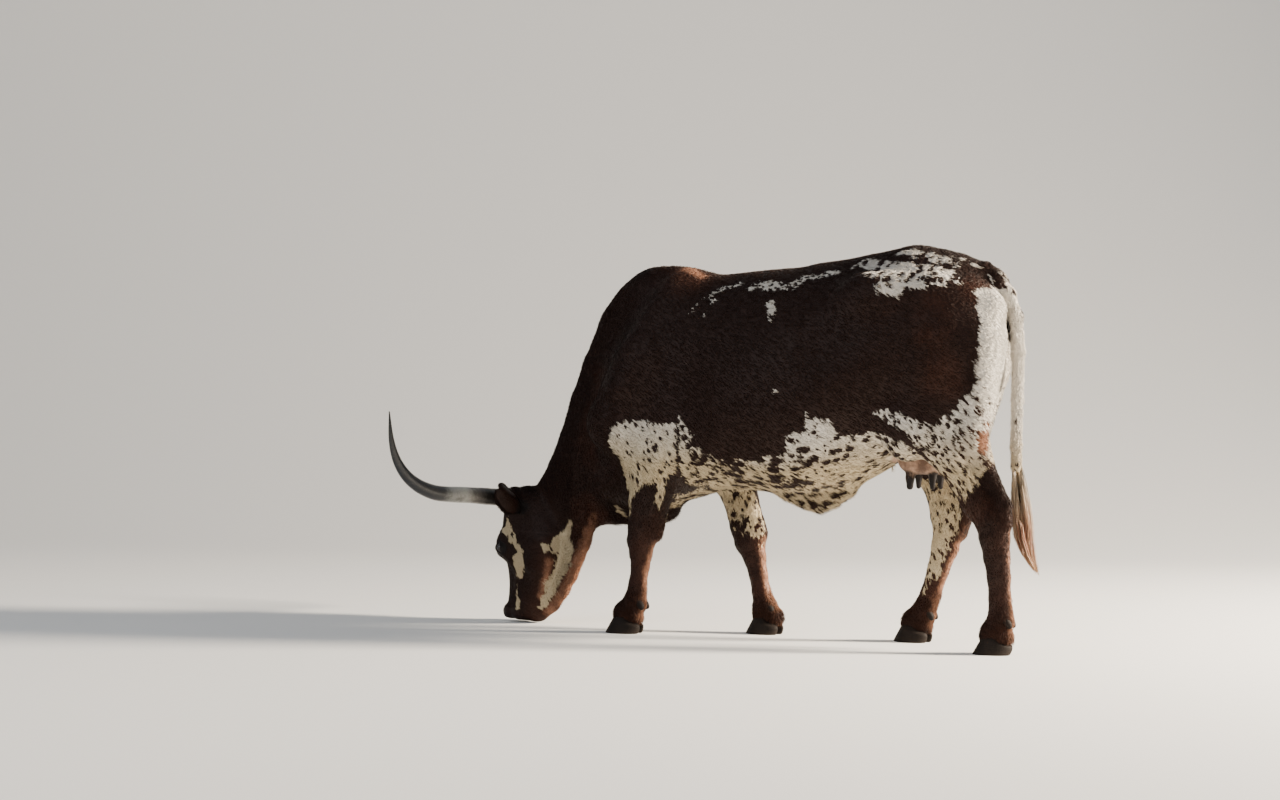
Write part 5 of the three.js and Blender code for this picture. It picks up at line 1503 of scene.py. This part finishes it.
def flat_coat(name, count, weight):
    """Short tufts that lie flat, each a spike of four faces."""
    place, normal, plain = skin_samples(count, lambda p: weight(p) * ~hairless(p))
    way, side = lying(place, normal, 0.2)
    length = hair_length(place) * (0.75 + 0.5 * random.random(len(place)))
    lift = length * (0.1 + 0.08 * random.random(len(place))) + 0.3
    root = place - normal * 0.4
    tip = place + way * length[:, None] + normal * lift[:, None]
    wide = (length * 0.075 + 0.25)[:, None]
    return strands(name, np.stack([root, tip], 1), side, normal, wide, wide * 0.9, unwrapped(place),
                   plain,
                   hair_material)


def region(low, high):
    return lambda p: ((p >= low) & (p <= high)).all(axis=1).astype(float)


def of_head(p):
    return ((p[:, 0] < -870) & (in_head(p)[:, 0] > -330)).astype(float)


def of_neck(p):
    return (p[:, 0] < -600) * (1 - of_head(p)) * (p[:, 2] > 330)


def of_legs(p):
    """What the other pieces leave over: the legs, and the trunk behind the hips."""
    trunk_part = np.maximum(middle_left(p) + middle_right(p), p[:, 2] > 440)
    return 1 - trunk_part * (p[:, 0] < 760) * (p[:, 0] > -600) - (p[:, 0] < -600) * (p[:, 2] > 330)


middle_left = region((-600, -400, 440), (760, 0, 1500))
middle_right = region((-600, 0, 440), (760, 400, 1500))
LARGE_PIECE, SMALL_PIECE, FRINGE = 48000, 30000, 19000
flat_coat("coat_left", LARGE_PIECE, middle_left)
flat_coat("coat_right", LARGE_PIECE, middle_right)
flat_coat("coat_head", LARGE_PIECE, of_head)
flat_coat("coat_neck", SMALL_PIECE, of_neck)
flat_coat("coat_legs", LARGE_PIECE, of_legs)


# Longer, bent tufts where the coat breaks the form
LONG_HAIR = [
    (20, 0.8, [(-310, 0, 480, 90), (150, 0, 500, 90)]),
    (20, 1.2, [(-700, 10, 430, 60), (-520, 0, 430, 80)]),
    (18, 1.0, [(-1160, 70, 470, 60), (-1110, 70, 520, 70)]),
    (13, 0.8, [(-760, 0, 430, 60), (-900, 0, 150, 60)]),
    (18, 0.7, [(760, 60, 1180, 60), (770, 150, 1000, 70), (740, 180, 780, 70)]),
    (15, 0.6, [(-560, 0, 1300, 70), (-380, 0, 1350, 70)]),
    (15, 0.6, [(-720, 0, 1180, 70), (-960, 40, 620, 70)]),
    (20, 1.3, [(833, 0, 1150, 40), (833, 0, 660, 40)]),
    (15, 0.7, [(480, 0, 1420, 70), (760, 0, 1300, 50)]),
    (20, 1.8, [(-520, 140, 110, 60), (-505, 140, 85, 50)]),
    (20, 1.8, [(-100, 122, 105, 55), (-96, 122, 80, 50)]),
    (20, 1.8, [(872, 150, 118, 60), (870, 150, 85, 50)]),
    (20, 1.8, [(500, 140, 108, 60), (495, 140, 80, 50)]),
    (14, 0.9, [(-470, 140, 560, 60), (-480, 140, 400, 40)]),
    (14, 0.9, [(640, 150, 700, 60), (838, 150, 500, 50)]),
    (13, 2.5, [(-588, 140, 62, 60)]),
    (13, 2.5, [(-140, 122, 62, 60)]),
    (13, 2.5, [(811, 150, 62, 60)]),
    (13, 2.5, [(428, 140, 62, 60)]),
]


def long_share(p):
    q = both(p)
    total = np.zeros(len(p))
    length = np.full(len(p), 12.0)
    for long, share, chain in LONG_HAIR:
        near = ease(-line_gap(q, chain), -30, 20)
        total = np.maximum(total, share * near)
        length = np.maximum(length, 12 + (long - 12) * near)
    return total, length


def long_coat(name, count, part):
    place, normal, plain = skin_samples(count, lambda p: long_share(p)[0] * part(p) * ~hairless(p))
    way, side = lying(place, normal, 0.28)
    length = long_share(place)[1] * (0.65 + 0.6 * random.random(len(place)))
    lift = length * (0.12 + 0.2 * random.random(len(place)))
    sag = np.array([0, 0, -1]) * (length * 0.12)[:, None]
    middle = place + way * (length * 0.45)[:, None] + normal * (lift * 0.8)[:, None]
    tip = place + way * length[:, None] + normal * lift[:, None] + sag
    wide = (0.7 + 0.6 * random.random(len(place)))[:, None] * [1, 0.8]
    paths = np.stack([place - normal * 1.5, middle, tip], 1)
    return strands(name, paths, side, normal, wide, wide * 0.9, unwrapped(place), plain,
                   hair_material)


long_coat("coat_fringe_left", FRINGE, region((-1400, -500, -10), (1000, 0, 1500)))
long_coat("coat_fringe_right", FRINGE, region((-1400, 0, -10), (1000, 500, 1500)))


# Hair of the ears: a fringe round the edge and longer hair in the cup
def ear_hair(name, side):
    count = 5200
    t = random.random(count) ** 0.8
    edge = random.random(count) < 0.6
    at_edge = np.where(random.random(count) < 0.5, 1, -1) * (0.86 + 0.14 * random.random(count))
    v = np.where(edge, at_edge, random.random(count) * 1.8 - 0.9)
    inner = random.random(count) < 0.5
    place, way, lift = ear_sheet(side, t, v)
    across = np.cross(lift, way)
    out = lift * np.where(inner, 1, -1)[:, None]
    spread = (v * np.where(edge, 0.7, 0.15))[:, None]
    rise = np.where(inner, 0.5, 0.22)[:, None]
    lean = unit(way * 0.8 + across * spread + out * rise + random.normal(0, 0.12, (count, 3)))
    length = np.where(edge, 8, np.where(inner, 14, 8)) * (0.6 + 0.6 * random.random(count))
    length = length * (1 - 0.55 * ease(t, 0.7, 0.95))
    root = place + out * 2.0
    bend = np.cross(lean, across) * (length * 0.08)[:, None]
    paths = np.stack([root - lean, root + lean * (length * 0.5)[:, None] + bend,
                      root + lean * length[:, None]], 1)
    wide = (0.6 + 0.4 * random.random(count))[:, None] * [1, 0.8]
    patch = np.stack([0.04 + 0.9 * t, 0.5 + 0.44 * v], 1)
    return strands(name, paths, unit(np.cross(lean, out)), unit(out), wide, wide, patch, place,
                   hair_material)


ear_hair("ear_left_hair", 1)
ear_hair("ear_right_hair", -1)


def switch_material():
    made, tree, shader = new_material("long hair")
    own = noise(tree, vector_of(tree, "root"), 160, 2, 0.6)
    place = node(tree, "ShaderNodeTexCoord").outputs["Object"]
    level = maths(tree, "MULTIPLY_ADD", maths(tree, "SUBTRACT", own, 0.5), 0.3, height_of(tree, place))
    colour = ramp_of(tree, step_up(tree, level, 0.25, 0.66), [
        (0.0, (0.45, 0.28, 0.13)), (0.14, (0.36, 0.16, 0.07)), (0.34, (0.22, 0.08, 0.04)),
        (0.52, (0.28, 0.155, 0.09)), (0.7, (0.43, 0.33, 0.23)), (1.0, (0.53, 0.45, 0.34))])
    colour = mixed(tree, step_up(tree, own, 0.54, 0.62), colour, (0.42, 0.31, 0.2, 1))
    colour = mixed(tree, maths(tree, "MULTIPLY", step_up(tree, own, 0.42, 0.34), 0.7), colour,
                   (0.045, 0.022, 0.015, 1))
    tree.links.new(colour, shader.inputs["Base Color"])
    shader.inputs["Roughness"].default_value = 0.5
    return made


# Switch: locks of strands that hang and bend from the end of the tail
SWITCH_LINE = [(650, 833), (600, 838), (526, 846), (400, 860), (330, 880), (256, 925)]


def switch_middle(z):
    levels, places_along = zip(*SWITCH_LINE[::-1])
    return np.interp(z, levels, places_along)


def tail_switch():
    count, locks = 2600, 64
    ring = random.random(locks)
    angle = np.arange(locks) * 2.39996
    level = 668 - 250 * ring ** 0.9
    tip_level = np.maximum(272 + 170 * random.random(locks) ** 1.4, level - 330)
    tip_level[:3] = 262, 268, 274
    which = random.integers(0, locks, count)
    own = random.normal(0, 1, (count, 3)).clip(-2.2, 2.2)
    out = np.stack([np.cos(angle), np.sin(angle), np.zeros(locks)], 1)[which]
    start = level[which] + 14 * own[:, 2]
    fall = start - (tip_level[which] + 10 * np.abs(own[:, 1]))
    phase = (random.random(locks) * 6)[which]
    full = (0.7 + 0.5 * random.random(locks))[which]
    t = np.linspace(0, 1, 8)
    paths = np.empty((count, 8, 3))
    for j, at in enumerate(t):
        z = start - fall * at
        fat = np.interp(z, [256, 300, 340, 420, 500, 580, 640, 690], [3, 14, 22, 30, 29, 23, 15, 14])
        radius = fat * full * (0.8 + 0.13 * own[:, 0]) * (1 - 0.35 * at ** 3)
        paths[:, j] = np.stack([switch_middle(z), np.zeros(count), z], 1) + out * radius[:, None]
        paths[:, j, 0] += 4 * np.sin(3.2 * at + phase) * at + own[:, 1] * 2.6 * (0.4 + at)
        paths[:, j, 1] += 4 * np.cos(2.6 * at + phase) * at + own[:, 2] * 2.6 * (0.4 + at)
    side = np.cross(out, (0, 0, 1))
    thin = (1 - 0.75 * t[:-1] ** 2)[None] * np.where(t[:-1] == 0, 0.6, 1)[None]
    wide = (0.9 + 0.5 * random.random(count))[:, None] * thin
    patch = np.stack([(which % 8 + 0.5 + 0.12 * own[:, 0]) / 8.5,
                      (which // 8 + 0.5 + 0.12 * own[:, 1]) / 8.5], 1)
    return strands("tail_switch_hair", paths, side, out, wide, wide * 0.8,
                   np.clip(patch, 0.01, 0.99), paths[:, 0],
                   switch_material())


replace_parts(tail_switch(), "tail_switch")

# Stage: a pale floor that curves up behind the cow
FLOOR_REACH, CURVE_START, CURVE_RADIUS, WALL_STEEPNESS = 24, 5, 9, 4
floor_mesh = bpy.data.meshes.new("floor")
bm = bmesh.new()
bmesh.ops.create_grid(bm, x_segments=4, y_segments=120, size=FLOOR_REACH)
for v in bm.verts:
    rise = min(max(v.co.y - CURVE_START, 0) / CURVE_RADIUS, 1)
    wall = max(v.co.y - CURVE_START - CURVE_RADIUS, 0) * WALL_STEEPNESS
    v.co = (v.co.x * 1.5, v.co.y, CURVE_RADIUS * (1 - math.sqrt(1 - rise * rise)) + wall)
bmesh.ops.rotate(bm, cent=(0, 0, 0), matrix=Matrix.Rotation(CAMERA_TURN, 3, "Z"), verts=bm.verts)
bm.to_mesh(floor_mesh)
bm.free()
for polygon in floor_mesh.polygons:
    polygon.use_smooth = True
floor_finish, _, floor_shader = new_material("pale floor")
floor_shader.inputs["Base Color"].default_value = (0.84, 0.835, 0.82, 1)
floor_shader.inputs["Roughness"].default_value = 0.8
floor_mesh.materials.append(floor_finish)
floor = linked("floor", floor_mesh)


def area_light(name, place, aim, size, power, colour):
    data = bpy.data.lights.new(name, "AREA")
    data.shape = "DISK"
    data.size = size
    data.energy = power
    data.color = colour
    lamp = bpy.data.objects.new(name, data)
    bpy.context.scene.collection.objects.link(lamp)
    way = Vector(aim) - Vector(place)
    lamp.matrix_world = Matrix.Translation(place) @ way.to_track_quat("-Z", "Y").to_matrix().to_4x4()


# A warm low key from behind on the right and a weak cool fill from the front: size in m, power in W
area_light("key", (7.0, 2.6, 3.4), (0.2, 0, 0.8), size=1.5, power=3600, colour=(1, 0.87, 0.7))
area_light("fill", (-3, -7, 4.5), (0, 0, 0.7), size=5, power=160, colour=(0.9, 0.95, 1))
world = bpy.data.worlds.new("studio")
bpy.context.scene.world = world
world.use_nodes = True
world.node_tree.nodes["Background"].inputs["Color"].default_value = (0.86, 0.9, 0.96, 1)
world.node_tree.nodes["Background"].inputs["Strength"].default_value = 0.42
